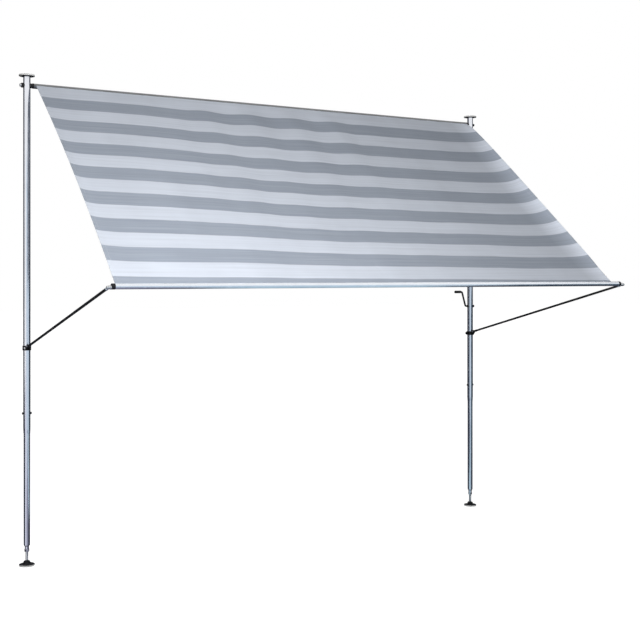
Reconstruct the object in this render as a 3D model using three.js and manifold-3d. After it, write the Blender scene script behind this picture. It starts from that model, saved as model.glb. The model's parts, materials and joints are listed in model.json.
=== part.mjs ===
// A clamp awning: two telescoping posts braced between floor and ceiling carry a roller,
// and a striped cloth runs from the roller down to a drop bar that two arms hold out.
// Units are millimetres. +Z is up, +X runs from the left post to the right post, and the
// cloth comes out towards -Y. The origin is on the floor under the left post's axis.
import * as THREE from "three";
import { mergeVertices } from "three/addons/utils/BufferGeometryUtils.js";
import Module from "manifold-3d";

const wasm = await Module();
wasm.setup();

// Driving dimensions
const SPAN = 3000; // between the two post axes
const HEIGHT = 2650; // floor to ceiling
const UPPER_OD = 38; // upper post tube
const LOWER_OD = 34; // lower post tube, sliding inside the upper one
const TUBE_WALL = 1.5;
const UPPER_END_Z = 715; // lower end of the upper tube
const LOWER_TOP_Z = 1130; // top of the lower tube, hidden in the upper one
const LOWER_END_Z = 90; // swaged lower end of the lower tube
const CLAMP_SCREW_Z = 822;
const PAD_D = 82; // floor and ceiling pads
const PAD_THICK = 4;
const PLATE_THICK = 4;
const SPINDLE_D = 16; // levelling spindle
const BALL_D = 15; // its ball end
const BALL_Z = 15;
const ROLLER_D = 28;
const ROLLER_Z = 2592;
const ROLLER_END = 36; // from each post axis to the end of the roller tube
const BAR_D = 25; // drop bar
const BAR_END = { left: 28, right: 38 }; // from each post axis plane to the end of the bar tube
const BAR_Y = -1388;
const BAR_Z = 1519;
const BOLT_DROP = 4; // the arms' bolts sit this far below the drop bar's axis
const ARM_D = 13;
const PIVOT_Y = -36; // lower pivot of the arms, in front of the posts
const PIVOT_Z = 1186.5;
const COLLAR_Z = 1174.5;
const CRANK_Z = 1358;
const CRANK_ROD_D = 12;
const CRANK_OFFSET = 40; // from the post axis to the crank's lever
const CRANK_LEVER = [38, 96]; // the lever's run along Y and Z
const CRANK_GRIP = 57;
const CLOTH_THICK = 1;
const CLOTH_TOP = [46, 2962]; // side edges of the cloth at the roller
const CLOTH_FOOT = [33, 2927]; // side edges of the cloth at the drop bar
const CLOTH_SAG = 38; // of the middle of the cloth below its straight line
const CLOTH_CURL = { left: 15, right: 34 }; // rise of its side edges over the rest
const CLOTH_WAIST = 9; // how far its left edge is drawn in
const GAP = 0.35; // between pieces that touch or run in each other

// Colours and finishes
const metal = (color, roughness) =>
  new THREE.MeshStandardMaterial({ color, roughness, metalness: 0.9 });
const plastic = (color, roughness) =>
  new THREE.MeshStandardMaterial({ color, roughness, metalness: 0 });
const STEEL = metal(0xc4ccd6, 0.32);
const ZINC = metal(0xd8dce0, 0.28);
const ANODISED = metal(0xb9c6d6, 0.38);
const ROLLER_GREY = metal(0x6c6f74, 0.5);
const DARK_STEEL = metal(0x35373b, 0.45);
const BLACK = plastic(0x17181b, 0.5);
const RUBBER = plastic(0xc9cac8, 0.85);
const PVC = plastic(0xdfe2e6, 0.6);
const CORD = plastic(0x3c3e42, 0.9);
const CLOTH = plastic(0xb9bfca, 0.95);

const group = new THREE.Group();

// Adds one named piece to the awning.
function piece(name, material, geometry) {
  const mesh = new THREE.Mesh(geometry, material);
  mesh.name = name;
  group.add(mesh);
  return mesh;
}

// Welds a geometry, drops its collapsed triangles and turns its faces outwards.
function clean(source) {
  const bare = source.clone();
  bare.deleteAttribute("normal");
  bare.deleteAttribute("uv");
  const merged = mergeVertices(bare, 1e-3);
  const kept = [];
  let volume = 0;
  const corners = [new THREE.Vector3(), new THREE.Vector3(), new THREE.Vector3()];
  for (let i = 0; i < merged.index.count; i += 3) {
    const ids = [0, 1, 2].map((k) => merged.index.getX(i + k));
    if (new Set(ids).size < 3) continue;
    ids.forEach((id, k) => corners[k].fromBufferAttribute(merged.attributes.position, id));
    volume += corners[0].dot(corners[1].clone().cross(corners[2]));
    kept.push(ids);
  }
  const index = kept.flatMap(([a, b, c]) => (volume < 0 ? [a, c, b] : [a, b, c]));
  merged.setIndex(index);
  return merged;
}

function toManifold(geometry) {
  const body = clean(geometry);
  return new wasm.Manifold(
    new wasm.Mesh({
      numProp: 3,
      vertProperties: new Float32Array(body.attributes.position.array),
      triVerts: new Uint32Array(body.index.array),
    }),
  );
}

function fromManifold(body) {
  const mesh = body.getMesh();
  const geometry = new THREE.BufferGeometry();
  geometry.setAttribute("position", new THREE.BufferAttribute(mesh.vertProperties, 3));
  geometry.setIndex(new THREE.BufferAttribute(mesh.triVerts, 1));
  return geometry;
}

const join = (first, ...others) =>
  fromManifold(others.reduce((sum, next) => sum.add(toManifold(next)), toManifold(first)));
const cut = (first, ...others) =>
  fromManifold(others.reduce((rest, next) => rest.subtract(toManifold(next)), toManifold(first)));

// Revolves a profile of [radius, height] points about Z.
function turned(profile, segments = 20) {
  const points = profile.map(([r, z]) => new THREE.Vector2(r, z));
  return clean(new THREE.LatheGeometry(points, segments).rotateX(Math.PI / 2));
}

// The same about X, with [radius, x] points.
const turnedX = (profile, segments = 14) => turned(profile, segments).rotateY(Math.PI / 2);

// Profile of a ring or sleeve between two radii and two heights.
const ring = (outer, inner, low, high) => [
  [outer, low],
  [outer, high],
  [inner, high],
  [inner, low],
  [outer, low],
];

// Profile of a solid rod.
const rod = (radius, low, high) => [
  [0, low],
  [radius, low],
  [radius, high],
  [0, high],
];

// A solid rod along X through a point.
const rodX = (radius, low, high, y, z, segments = 14) =>
  turnedX(rod(radius, low, high), segments).translate(0, y, z);

// Extrudes a shape drawn in the YZ plane along X.
function extrudedX(shape, low, high) {
  const solid = new THREE.ExtrudeGeometry(shape, {
    depth: high - low,
    bevelEnabled: false,
    curveSegments: 6,
  });
  const axes = new THREE.Matrix4().makeBasis(
    new THREE.Vector3(0, 1, 0),
    new THREE.Vector3(0, 0, 1),
    new THREE.Vector3(1, 0, 0),
  );
  return clean(solid.applyMatrix4(axes).translate(low, 0, 0));
}

// A hexagonal prism along Z with a round bore.
function hexNut(acrossFlats, bore, low, high) {
  const shape = new THREE.Shape();
  const corner = acrossFlats / Math.sqrt(3);
  for (let k = 0; k < 6; k++) {
    const a = (k * Math.PI) / 3;
    if (k === 0) shape.moveTo(corner, 0);
    else shape.lineTo(corner * Math.cos(a), corner * Math.sin(a));
  }
  if (bore > 0) shape.holes.push(new THREE.Path().absarc(0, 0, bore / 2, 0, Math.PI * 2));
  return clean(
    new THREE.ExtrudeGeometry(shape, {
      depth: high - low,
      bevelEnabled: false,
      curveSegments: 8,
    }).translate(0, 0, low),
  );
}

// Posts
const POST_SIDES = 24; // facets round a post tube
const UPPER_R = UPPER_OD / 2;
const UPPER_BORE = UPPER_R - TUBE_WALL;
const LOWER_R = LOWER_OD / 2;
const LOWER_BORE = LOWER_R - TUBE_WALL;
const UPPER_TOP_Z = HEIGHT - PAD_THICK - PLATE_THICK - 2 * GAP;
const SWAGE_Z = UPPER_END_Z + 24; // where the upper tube's swaged end begins
const SCREW_R = 4;
const BOLT_R = 5; // the bolt that carries the roller's left end
const SHAFT_R = CRANK_ROD_D / 2; // the shaft at its right end, as thick as the crank's rod
const BUSH_R = 8; // sleeves of the shaft's and the crank's bushes, through the post wall

function upperTube(x, bores) {
  const tube = turned([
    [UPPER_R - 0.9, UPPER_END_Z],
    [UPPER_R - 0.9, UPPER_END_Z + 8],
    [UPPER_R, SWAGE_Z],
    [UPPER_R, UPPER_TOP_Z],
    [UPPER_BORE, UPPER_TOP_Z],
    [UPPER_BORE, UPPER_END_Z],
    [UPPER_R - 0.9, UPPER_END_Z],
  ], POST_SIDES);
  return cut(tube, ...bores.map(([r, z]) => rodX(r, -30, 30, 0, z))).translate(x, 0, 0);
}

// The lower tube is necked in at its foot to hold the levelling nut.
function lowerTube(x) {
  return turned([
    [11.4, LOWER_END_Z],
    [11.8, LOWER_END_Z + 14],
    [LOWER_R, LOWER_END_Z + 21],
    [LOWER_R, LOWER_TOP_Z],
    [LOWER_BORE, LOWER_TOP_Z],
    [LOWER_BORE, LOWER_END_Z + 25],
    [SPINDLE_D / 2 + GAP, LOWER_END_Z + 10],
    [SPINDLE_D / 2 + GAP, LOWER_END_Z],
    [11.4, LOWER_END_Z],
  ], POST_SIDES).translate(x, 0, 0);
}

// A guide bush sits in the top of the lower tube and runs in the upper one.
function guideBush(x) {
  const foot = LOWER_TOP_Z - 30;
  const collar = LOWER_TOP_Z + GAP;
  return turned([
    [12.5, foot],
    [LOWER_BORE - GAP, foot],
    [LOWER_BORE - GAP, collar],
    [LOWER_R, collar],
    [LOWER_R, collar + 8],
    [12.5, collar + 8],
    [12.5, foot],
  ], 18).translate(x, 0, 0);
}

// Clamp screws press on the lower tube from both sides: side is -1 or 1.
function clampScrew(x, side) {
  const tip = LOWER_R + GAP;
  const head = UPPER_R + GAP;
  const screw = turnedX(
    [
      [0, tip],
      [SCREW_R, tip],
      [SCREW_R, head],
      [5.5, head],
      [6.5, head + 1.5],
      [6.5, head + 4.5],
      [5.5, head + 6],
      [0, head + 6],
    ],
    12,
  );
  if (side < 0) screw.rotateZ(Math.PI);
  return screw.translate(x, 0, CLAMP_SCREW_Z);
}

// Floor end: nut, spindle with a ball, plate with a socket, and a rubber sole.
const NUT_HEIGHT = 14;
const NUT_TOP = LOWER_END_Z - GAP;

function jackNut(x) {
  const hex = hexNut(24, SPINDLE_D + 2 * GAP, NUT_TOP - NUT_HEIGHT, NUT_TOP);
  return hex.translate(x, 0, 0);
}

// Points of a circular arc in a profile, in degrees from the axis of +r.
function arc(radius, z, from, to, steps) {
  return Array.from({ length: steps + 1 }, (_, i) => {
    const a = THREE.MathUtils.degToRad(from + ((to - from) * i) / steps);
    return [Math.max(radius * Math.cos(a), 0), z + radius * Math.sin(a)];
  });
}

function jackSpindle(x) {
  return turned(
    [
      ...arc(BALL_D / 2, BALL_Z, -90, 48, 5),
      [5, 27],
      [SPINDLE_D / 2, 30],
      [SPINDLE_D / 2, 288],
      [SPINDLE_D / 2 - 1.5, 290],
      [0, 290],
    ],
    14,
  ).translate(x, 0, 0);
}

function footPlate(x) {
  const low = PAD_THICK + GAP;
  const socket = arc(BALL_D / 2 + 0.5, BALL_Z, 35, -90, 5);
  return turned([
    [0, low],
    [PAD_D / 2 - 0.5, low],
    [PAD_D / 2 - 0.5, low + 1.5],
    [24, low + 3],
    [19.5, low + 5],
    [18, 22],
    [16, 25],
    [9, 25],
    ...socket,
  ]).translate(x, 0, 0);
}

const footSole = (x) => turned(rod(PAD_D / 2, 0, PAD_THICK)).translate(x, 0, 0);

// Ceiling end: a plate plugged into the tube and a rubber pad.
function ceilingPlate(x) {
  const plateTop = HEIGHT - PAD_THICK - GAP;
  const plateLow = plateTop - PLATE_THICK;
  return turned([
    [11, plateLow - 36],
    [UPPER_BORE - GAP, plateLow - 36],
    [UPPER_BORE - GAP, plateLow],
    [PAD_D / 2 - 1.5, plateLow],
    [PAD_D / 2 - 0.5, plateLow + 1.5],
    [PAD_D / 2 - 0.5, plateTop],
    [11, plateTop],
    [11, plateLow - 36],
  ]).translate(x, 0, 0);
}

const ceilingPad = (x) =>
  turned(rod(PAD_D / 2, HEIGHT - PAD_THICK, HEIGHT)).translate(x, 0, 0);

// Arm collars: a ring on the post with a fork in front for the arm's eye.
const COLLAR_R = 23;
const COLLAR_HALF = 12.5;
const FORK_GAP = 3.6; // half the fork's mouth
const FORK_EAR = 5; // thickness of each ear
const PIN_R = 4;

function earShape() {
  const shape = new THREE.Shape();
  const back = -UPPER_R - 0.6;
  shape.moveTo(back, COLLAR_Z - COLLAR_HALF + 2);
  shape.lineTo(back, COLLAR_Z + COLLAR_HALF);
  shape.lineTo(PIVOT_Y + 4, PIVOT_Z + 9.2);
  shape.absarc(PIVOT_Y, PIVOT_Z, 9.8, Math.PI * 0.4, Math.PI * 1.25, false);
  shape.lineTo(back - 8, COLLAR_Z - COLLAR_HALF + 2);
  shape.closePath();
  return shape;
}

function collar(x, tapped) {
  const span = [COLLAR_Z - COLLAR_HALF, COLLAR_Z + COLLAR_HALF];
  const band = turned(ring(COLLAR_R, UPPER_R + GAP, ...span), POST_SIDES);
  const ear = earShape();
  const ears = [-1, 1].map((side) => {
    const near = side > 0 ? FORK_GAP : -FORK_GAP - FORK_EAR;
    return extrudedX(ear, near, near + FORK_EAR);
  });
  const bore = turned(rod(UPPER_R + GAP, PIVOT_Z - 60, PIVOT_Z + 60), POST_SIDES);
  const pinHole = rodX(PIN_R + GAP, -20, 20, PIVOT_Y, PIVOT_Z);
  return cut(join(band, ...ears), bore, pinHole, tapped).translate(x, 0, 0);
}

// The clamp screw of the left collar is sunk in it at the front, with a hexagon socket.
const SCREW_HEADING = THREE.MathUtils.degToRad(225);
const SCREW_HEAD_R = 4.6;

function radial(geometry, heading) {
  return geometry.rotateZ(heading).translate(0, 0, COLLAR_Z);
}

const screwPocket = (radius) => radial(turnedX(rod(radius, 19.1, 40), 12), SCREW_HEADING);

function collarScrew(x) {
  const head = turnedX(rod(SCREW_HEAD_R, UPPER_R + 0.6, COLLAR_R + 1.6), 12);
  const socket = hexNut(4, 0, COLLAR_R - 1, COLLAR_R + 6).rotateY(Math.PI / 2);
  return radial(cut(head, socket), SCREW_HEADING).translate(x, 0, 0);
}

// The right collar has a knob on its inner side.
const KNOB_HEADING = Math.PI;
const knobBore = radial(turnedX(rod(3.4, 18, 40), 12), KNOB_HEADING);

function collarKnob(x) {
  const shank = turnedX(
    [
      [0, UPPER_R + 0.6],
      [3, UPPER_R + 0.6],
      [3, COLLAR_R + GAP],
      [7.5, COLLAR_R + GAP + 0.6],
      [7.5, COLLAR_R + 3],
      [9.5, COLLAR_R + 5],
      [9.5, COLLAR_R + 10],
      [8, COLLAR_R + 12],
      [0, COLLAR_R + 12],
    ],
    14,
  );
  const flutes = Array.from({ length: 6 }, (_, k) => {
    const a = (k * Math.PI) / 3;
    const centre = [11.2 * Math.cos(a), 11.2 * Math.sin(a)];
    return rodX(2.6, COLLAR_R + 2, COLLAR_R + 14, ...centre, 8);
  });
  return radial(cut(shank, ...flutes), KNOB_HEADING).translate(x, 0, 0);
}

// Arms run from the collar's fork to the end of the drop bar.
const ARM_RUN = new THREE.Vector2(BAR_Y - PIVOT_Y, BAR_Z - BOLT_DROP - PIVOT_Z);
const ARM_LENGTH = ARM_RUN.length();
const ARM_TILT = Math.atan2(-ARM_RUN.x, ARM_RUN.y); // from +Z towards -Y
const EYE_R = 8.5;
const EYE_HALF = 2.8;
const SOCKET_LENGTH = 40;

// Brings what is drawn along +Z from the lower pivot into place on an arm.
const alongArm = (geometry, x) => geometry.rotateX(ARM_TILT).translate(x, PIVOT_Y, PIVOT_Z);

function armTube(x) {
  const low = 14 + SOCKET_LENGTH * 0.5;
  const high = ARM_LENGTH - low;
  return alongArm(turned(ring(ARM_D / 2, ARM_D / 2 - 1.3, low, high), 16), x);
}

// A flat eye with a plug that fits the arm tube. It points down from its own eye at z = 0.
function armEye(holeR) {
  const shape = new THREE.Shape();
  shape.moveTo(EYE_R * 0.72, EYE_R * 0.7);
  shape.absarc(0, 0, EYE_R, Math.PI / 4, Math.PI * 0.75, true);
  shape.lineTo(-5.4, 15);
  shape.lineTo(-5.4, 26);
  shape.lineTo(5.4, 26);
  shape.lineTo(5.4, 15);
  shape.closePath();
  shape.holes.push(new THREE.Path().absarc(0, 0, holeR, 0, Math.PI * 2));
  const tongue = extrudedX(shape, -EYE_HALF, EYE_HALF);
  const shoulder = turned(rod(ARM_D / 2 + 1, 20, 33.6), 16);
  const plug = turned(rod(ARM_D / 2 - 1.3 - GAP, 30, 60), 12);
  return join(tongue, shoulder, plug);
}

const lowerEye = (x) => alongArm(armEye(PIN_R + GAP), x);
const upperEye = (x) =>
  alongArm(armEye(PIN_R + GAP).rotateX(Math.PI).translate(0, 0, ARM_LENGTH), x);

// The pin in the fork has a head on each side.
function forkPin(x) {
  const reach = FORK_GAP + FORK_EAR + GAP;
  const pin = turnedX(
    [
      [0, -reach - 3],
      [6.5, -reach - 3],
      [6.5, -reach],
      [PIN_R, -reach],
      [PIN_R, reach],
      [6, reach],
      [6, reach + 2.5],
      [0, reach + 2.5],
    ],
    12,
  );
  return pin.translate(x, PIVOT_Y, PIVOT_Z);
}

// Extrusions with a groove that holds the welt of the cloth.
const WELT_R = 2.2;
const GROOVE_R = WELT_R + 0.5;
const GROOVE_WALL = 1;
const NECK_HALF = 1;

// A grooved tube along X with its groove towards a unit direction in the YZ plane.
function groovedTube(diameter, wall, heading, low, high) {
  const radius = diameter / 2;
  const depth = radius - GROOVE_R - GROOVE_WALL;
  const at = heading.clone().multiplyScalar(depth);
  const long = [low - 5, high + 5];
  const shell = turnedX(ring(radius, radius - wall, low, high), 24);
  const bead = rodX(GROOVE_R + GROOVE_WALL, low, high, at.x, at.y, 12);
  const groove = rodX(GROOVE_R, ...long, at.x, at.y, 10);
  const neck = new THREE.BoxGeometry(long[1] - long[0], radius, 2 * NECK_HALF)
    .translate((low + high) / 2, at.length() + radius / 2, 0)
    .rotateX(Math.atan2(heading.y, heading.x));
  return cut(join(shell, bead), groove, neck);
}

const weltDepth = (diameter) => diameter / 2 - GROOVE_R - GROOVE_WALL;

// Roller
const ROLLER_HEADING = new THREE.Vector2(-1, 0); // its groove faces the front
const ROLLER_BORE_R = ROLLER_D / 2 - TUBE_WALL;

function rollerTube() {
  const tube = groovedTube(ROLLER_D, TUBE_WALL, ROLLER_HEADING, ROLLER_END, SPAN - ROLLER_END);
  return tube.translate(0, 0, ROLLER_Z);
}

// A plug with a flange closes each end of the roller, and clears the groove's wall.
function rollerPlug(side) {
  const face = ROLLER_END - GAP;
  const bore = (side > 0 ? SHAFT_R : BOLT_R) + GAP;
  const body = turnedX(
    [
      [bore, face - 5],
      [ROLLER_D / 2 + 0.5, face - 5],
      [ROLLER_D / 2 + 0.5, face],
      [ROLLER_BORE_R - GAP, face],
      [ROLLER_BORE_R - GAP, face + 30],
      [bore, face + 30],
      [bore, face - 5],
    ],
    16,
  );
  const at = ROLLER_HEADING.clone().multiplyScalar(weltDepth(ROLLER_D));
  const relief = rodX(GROOVE_R + GROOVE_WALL + GAP, face, face + 40, at.x, at.y, 10);
  const plug = cut(body, relief);
  if (side > 0) plug.scale(-1, 1, 1).translate(SPAN, 0, 0);
  return clean(plug.translate(0, 0, ROLLER_Z));
}

// A saddle fills the space between a round post and a flat face, low to high along X.
function saddle(low, high, radius, boreR) {
  const block = turnedX(ring(radius, boreR, low, high), 20);
  const post = turned(rod(UPPER_R + GAP, -40, 40), POST_SIDES);
  return cut(block, post);
}

// Welt cords of the cloth, in the grooves of the roller and of the drop bar.
const weltX = (low, high) => rodX(WELT_R, low, high, 0, 0, 10);

// Left end of the roller: a bolt through the post, with a saddle on each side.
function rollerBolt() {
  return turnedX(
    [
      [0, -38],
      [8, -38],
      [8.5, -37],
      [8.5, -30.4],
      [BOLT_R, -30.4],
      [BOLT_R, 60],
      [BOLT_R - 1, 61],
      [0, 61],
    ],
    14,
  ).translate(0, 0, ROLLER_Z);
}

// Right end: a shaft turns with the roller and carries a cord pulley inside the post.
const PULLEY_R = 13;
const PULLEY_HALF = 3.5;
const CORD_R = 1.5;
const CORD_TRACK = PULLEY_R - CORD_R; // radius of the cord's middle line on the pulleys
const SHAFT_REACH = UPPER_R + 9; // outer end of the shaft and of the crank's rod

function rollerShaft() {
  return turnedX(
    [
      [0, -62],
      [SHAFT_R, -62],
      [SHAFT_R, SHAFT_REACH],
      [0, SHAFT_REACH],
    ],
    14,
  ).translate(SPAN, 0, ROLLER_Z);
}

function pulley(z) {
  const floor = CORD_TRACK - CORD_R - GAP;
  return turnedX(
    [
      [SHAFT_R + GAP, -PULLEY_HALF],
      [PULLEY_R, -PULLEY_HALF],
      [PULLEY_R, -PULLEY_HALF + 1],
      [floor, -1.2],
      [floor, 1.2],
      [PULLEY_R, PULLEY_HALF - 1],
      [PULLEY_R, PULLEY_HALF],
      [SHAFT_R + GAP, PULLEY_HALF],
      [SHAFT_R + GAP, -PULLEY_HALF],
    ],
    14,
  ).translate(SPAN, 0, z);
}

// The drive cord is an endless loop round both pulleys.
function driveCord() {
  const outline = (radius, Kind) => {
    const path = new Kind();
    path.absarc(0, ROLLER_Z, radius, 0, Math.PI, false);
    path.absarc(0, CRANK_Z, radius, Math.PI, Math.PI * 2, false);
    path.closePath();
    return path;
  };
  const shape = outline(CORD_TRACK + CORD_R / 2, THREE.Shape);
  shape.holes.push(outline(CORD_TRACK - CORD_R / 2, THREE.Path));
  return extrudedX(shape, SPAN - CORD_R / 2, SPAN + CORD_R / 2);
}

// Flanged bush in the wall of the right post: side -1 is the roller's side.
function wallBush(side, z) {
  const bush = turnedX(
    [
      [SHAFT_R + GAP, 14.5],
      [BUSH_R, 14.5],
      [BUSH_R, UPPER_R + GAP],
      [10, UPPER_R + GAP],
      [10, UPPER_R + 3.5],
      [SHAFT_R + GAP, UPPER_R + 3.5],
      [SHAFT_R + GAP, 14.5],
    ],
    12,
  );
  if (side < 0) bush.rotateZ(Math.PI);
  return bush.translate(SPAN, 0, z);
}

// A domed nut on the outer end of the shaft and of the crank's rod.
function capNut(z) {
  const nut = turnedX(
    [
      [SHAFT_R + GAP, UPPER_R + 4],
      [8.5, UPPER_R + 4],
      [8.5, UPPER_R + 11],
      [6, UPPER_R + 14],
      [0, UPPER_R + 14.5],
      [0, SHAFT_REACH + GAP],
      [SHAFT_R + GAP, SHAFT_REACH + GAP],
      [SHAFT_R + GAP, UPPER_R + 4],
    ],
    14,
  );
  return nut.translate(SPAN, 0, z);
}

// Crank: one bent rod through the right post, with a loose sleeve on its end.
const LEVER = new THREE.Vector3(0, ...CRANK_LEVER);

// A path of straight runs whose corners are rounded.
class RodPath extends THREE.CurvePath {
  constructor(points, radius) {
    super();
    let from = points[0];
    for (let i = 1; i < points.length - 1; i++) {
      const before = points[i].clone().sub(points[i - 1]).setLength(radius);
      const after = points[i + 1].clone().sub(points[i]).setLength(radius);
      const start = points[i].clone().sub(before);
      const end = points[i].clone().add(after);
      this.add(new THREE.LineCurve3(from, start));
      this.add(new THREE.QuadraticBezierCurve3(start, points[i], end));
      from = end;
    }
    this.add(new THREE.LineCurve3(from, points[points.length - 1]));
  }
}

function crankRod() {
  const elbow = new THREE.Vector3(SPAN - CRANK_OFFSET, 0, CRANK_Z);
  const wrist = elbow.clone().add(LEVER);
  const path = new RodPath(
    [
      new THREE.Vector3(SPAN + SHAFT_REACH, 0, CRANK_Z),
      elbow,
      wrist,
      wrist.clone().add(new THREE.Vector3(-CRANK_GRIP - 4, 0, 0)),
    ],
    9,
  );
  const section = new THREE.Shape().absarc(0, 0, CRANK_ROD_D / 2, 0, Math.PI * 2);
  return clean(
    new THREE.ExtrudeGeometry(section, { steps: 30, extrudePath: path, curveSegments: 5 }),
  );
}

function crankGrip() {
  const start = SPAN - CRANK_OFFSET - 11;
  const end = start - CRANK_GRIP + 9;
  const bore = SHAFT_R + GAP;
  const middle = (start + end) / 2;
  return turnedX(
    [
      [bore, end],
      [8.2, end],
      [9, end + 3],
      [8.4, middle],
      [9, start - 3],
      [8.2, start],
      [bore, start],
      [bore, end],
    ],
    14,
  ).translate(0, LEVER.y, CRANK_Z + LEVER.z);
}

// Drop bar
const BAR_HEADING = new THREE.Vector2(-ROLLER_D / 2 - 3 - BAR_Y, ROLLER_Z - BAR_Z).normalize();
const BAR_WALL = 1.5;
const CAP_WIDTH = 16; // of each end cap, outside the bar's tube
const STEM_R = 3; // of the bolts, inside the caps

function dropBar() {
  const span = [BAR_END.left, SPAN - BAR_END.right];
  return groovedTube(BAR_D, BAR_WALL, BAR_HEADING, ...span).translate(0, BAR_Y, BAR_Z);
}

function barCap(side) {
  const face = BAR_END[side] - GAP;
  const body = turnedX(
    [
      [0, face - CAP_WIDTH],
      [BAR_D / 2 + 0.3, face - CAP_WIDTH],
      [BAR_D / 2 + 0.8, face - CAP_WIDTH + 2],
      [BAR_D / 2 + 0.8, face],
      [BAR_D / 2 - BAR_WALL - GAP, face],
      [BAR_D / 2 - BAR_WALL - GAP, face + 28],
      [0, face + 28],
    ],
    16,
  );
  const at = BAR_HEADING.clone().multiplyScalar(weltDepth(BAR_D));
  const relief = rodX(GROOVE_R + GROOVE_WALL + GAP, face, face + 40, at.x, at.y, 10);
  const bore = rodX(STEM_R + GAP, face - CAP_WIDTH - 5, face + 40, 0, -BOLT_DROP);
  const cap = cut(body, relief, bore);
  if (side === "right") cap.scale(-1, 1, 1).translate(SPAN, 0, 0);
  return clean(cap.translate(0, BAR_Y, BAR_Z));
}

// A shouldered bolt holds the arm's eye against each end of the bar.
function barBolt(side) {
  const shoulder = BAR_END[side] - CAP_WIDTH - 2 * GAP;
  const bolt = turnedX(
    [
      [0, -9],
      [6.2, -9],
      [7, -8],
      [7, -3.6],
      [PIN_R, -3.6],
      [PIN_R, 5],
      [9, 5],
      [9, shoulder],
      [STEM_R, shoulder],
      [STEM_R, BAR_END[side] + 22],
      [0, BAR_END[side] + 22],
    ],
    12,
  );
  if (side === "right") bolt.scale(-1, 1, 1).translate(SPAN, 0, 0);
  return clean(bolt.translate(0, BAR_Y, BAR_Z - BOLT_DROP));
}

// Cloth
// Its middle line leaves the roller's groove, runs straight to the bar and enters its groove.
const CLOTH_START = new THREE.Vector2(-weltDepth(ROLLER_D) - WELT_R - GAP, ROLLER_Z);
const CLOTH_BEND = new THREE.Vector2(-ROLLER_D / 2 - 3, ROLLER_Z);
const CLOTH_END = new THREE.Vector2(BAR_Y, BAR_Z).addScaledVector(
  BAR_HEADING,
  weltDepth(BAR_D) + WELT_R + GAP,
);
const CLOTH_RUN = CLOTH_END.clone().sub(CLOTH_BEND);
const CLOTH_LENGTH = CLOTH_RUN.length();
const CLOTH_DOWN = CLOTH_RUN.clone().normalize();
const CLOTH_OUT = new THREE.Vector2(CLOTH_DOWN.y, -CLOTH_DOWN.x); // upper side of the cloth
const SAG_GROWS = [350, 1400]; // from its left edge, where the sag grows from little to full
const HEM_REACH = 95; // how far in from its right edge the cloth is held nearly straight
const RIPPLE_PITCH = 290;
const RIPPLE_HEIGHT = 6;
const RIPPLES = [650, 2100]; // where the ripples are, from the cloth's left edge
const HELD = 14; // straight stretch at each end of the cloth, in the grooves
const LEAD = 0.02; // share of the cloth's run between the roller's groove and the bend

const smooth = (t) => THREE.MathUtils.smoothstep(t, 0, 1);

// Height of the cloth over its straight line, from across (0 to 1) and down (millimetres).
function clothRise(across, down) {
  const t = THREE.MathUtils.clamp((down - HELD) / (CLOTH_LENGTH - 2 * HELD), 0, 1);
  const belly = 4 * t * (1 - t);
  const width = CLOTH_TOP[1] - CLOTH_TOP[0];
  const left = across * width;
  const right = width - left;
  const grown = 0.1 + 0.9 * smooth((left - SAG_GROWS[0]) / (SAG_GROWS[1] - SAG_GROWS[0]));
  const inside = grown * (0.22 + 0.78 * (1 - Math.exp(-right / HEM_REACH)));
  const held = smooth((1 - t) / 0.15);
  const curl =
    CLOTH_CURL.left * belly * Math.exp(-left / 35) +
    CLOTH_CURL.right * Math.sqrt(belly) * (1 - 0.6 * t) * held * Math.exp(-right / 60);
  const place = smooth((left - RIPPLES[0]) / 300) * smooth((RIPPLES[1] - left) / 300);
  const fade = smooth(t / 0.08) * Math.exp(-2.2 * t) * held * place;
  const ripple = RIPPLE_HEIGHT * fade * Math.sin((left * 2 * Math.PI) / RIPPLE_PITCH);
  return -CLOTH_SAG * belly * inside + curl + ripple;
}

// Point of the cloth's middle surface, from across (0 to 1) and along (0 to 1).
function clothPoint(across, along) {
  const down = Math.max((along - LEAD) / (1 - LEAD), 0) * CLOTH_LENGTH;
  const share = down / CLOTH_LENGTH;
  const waist = CLOTH_WAIST * 4 * share * (1 - share);
  const left = THREE.MathUtils.lerp(CLOTH_TOP[0], CLOTH_FOOT[0], share) + waist;
  const right = THREE.MathUtils.lerp(CLOTH_TOP[1], CLOTH_FOOT[1], share);
  const at =
    along < LEAD
      ? CLOTH_START.clone().lerp(CLOTH_BEND, along / LEAD)
      : CLOTH_BEND.clone().addScaledVector(CLOTH_DOWN, down);
  if (along >= LEAD) at.addScaledVector(CLOTH_OUT, clothRise(across, down));
  return new THREE.Vector3(THREE.MathUtils.lerp(left, right, across), at.x, at.y);
}

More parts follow.
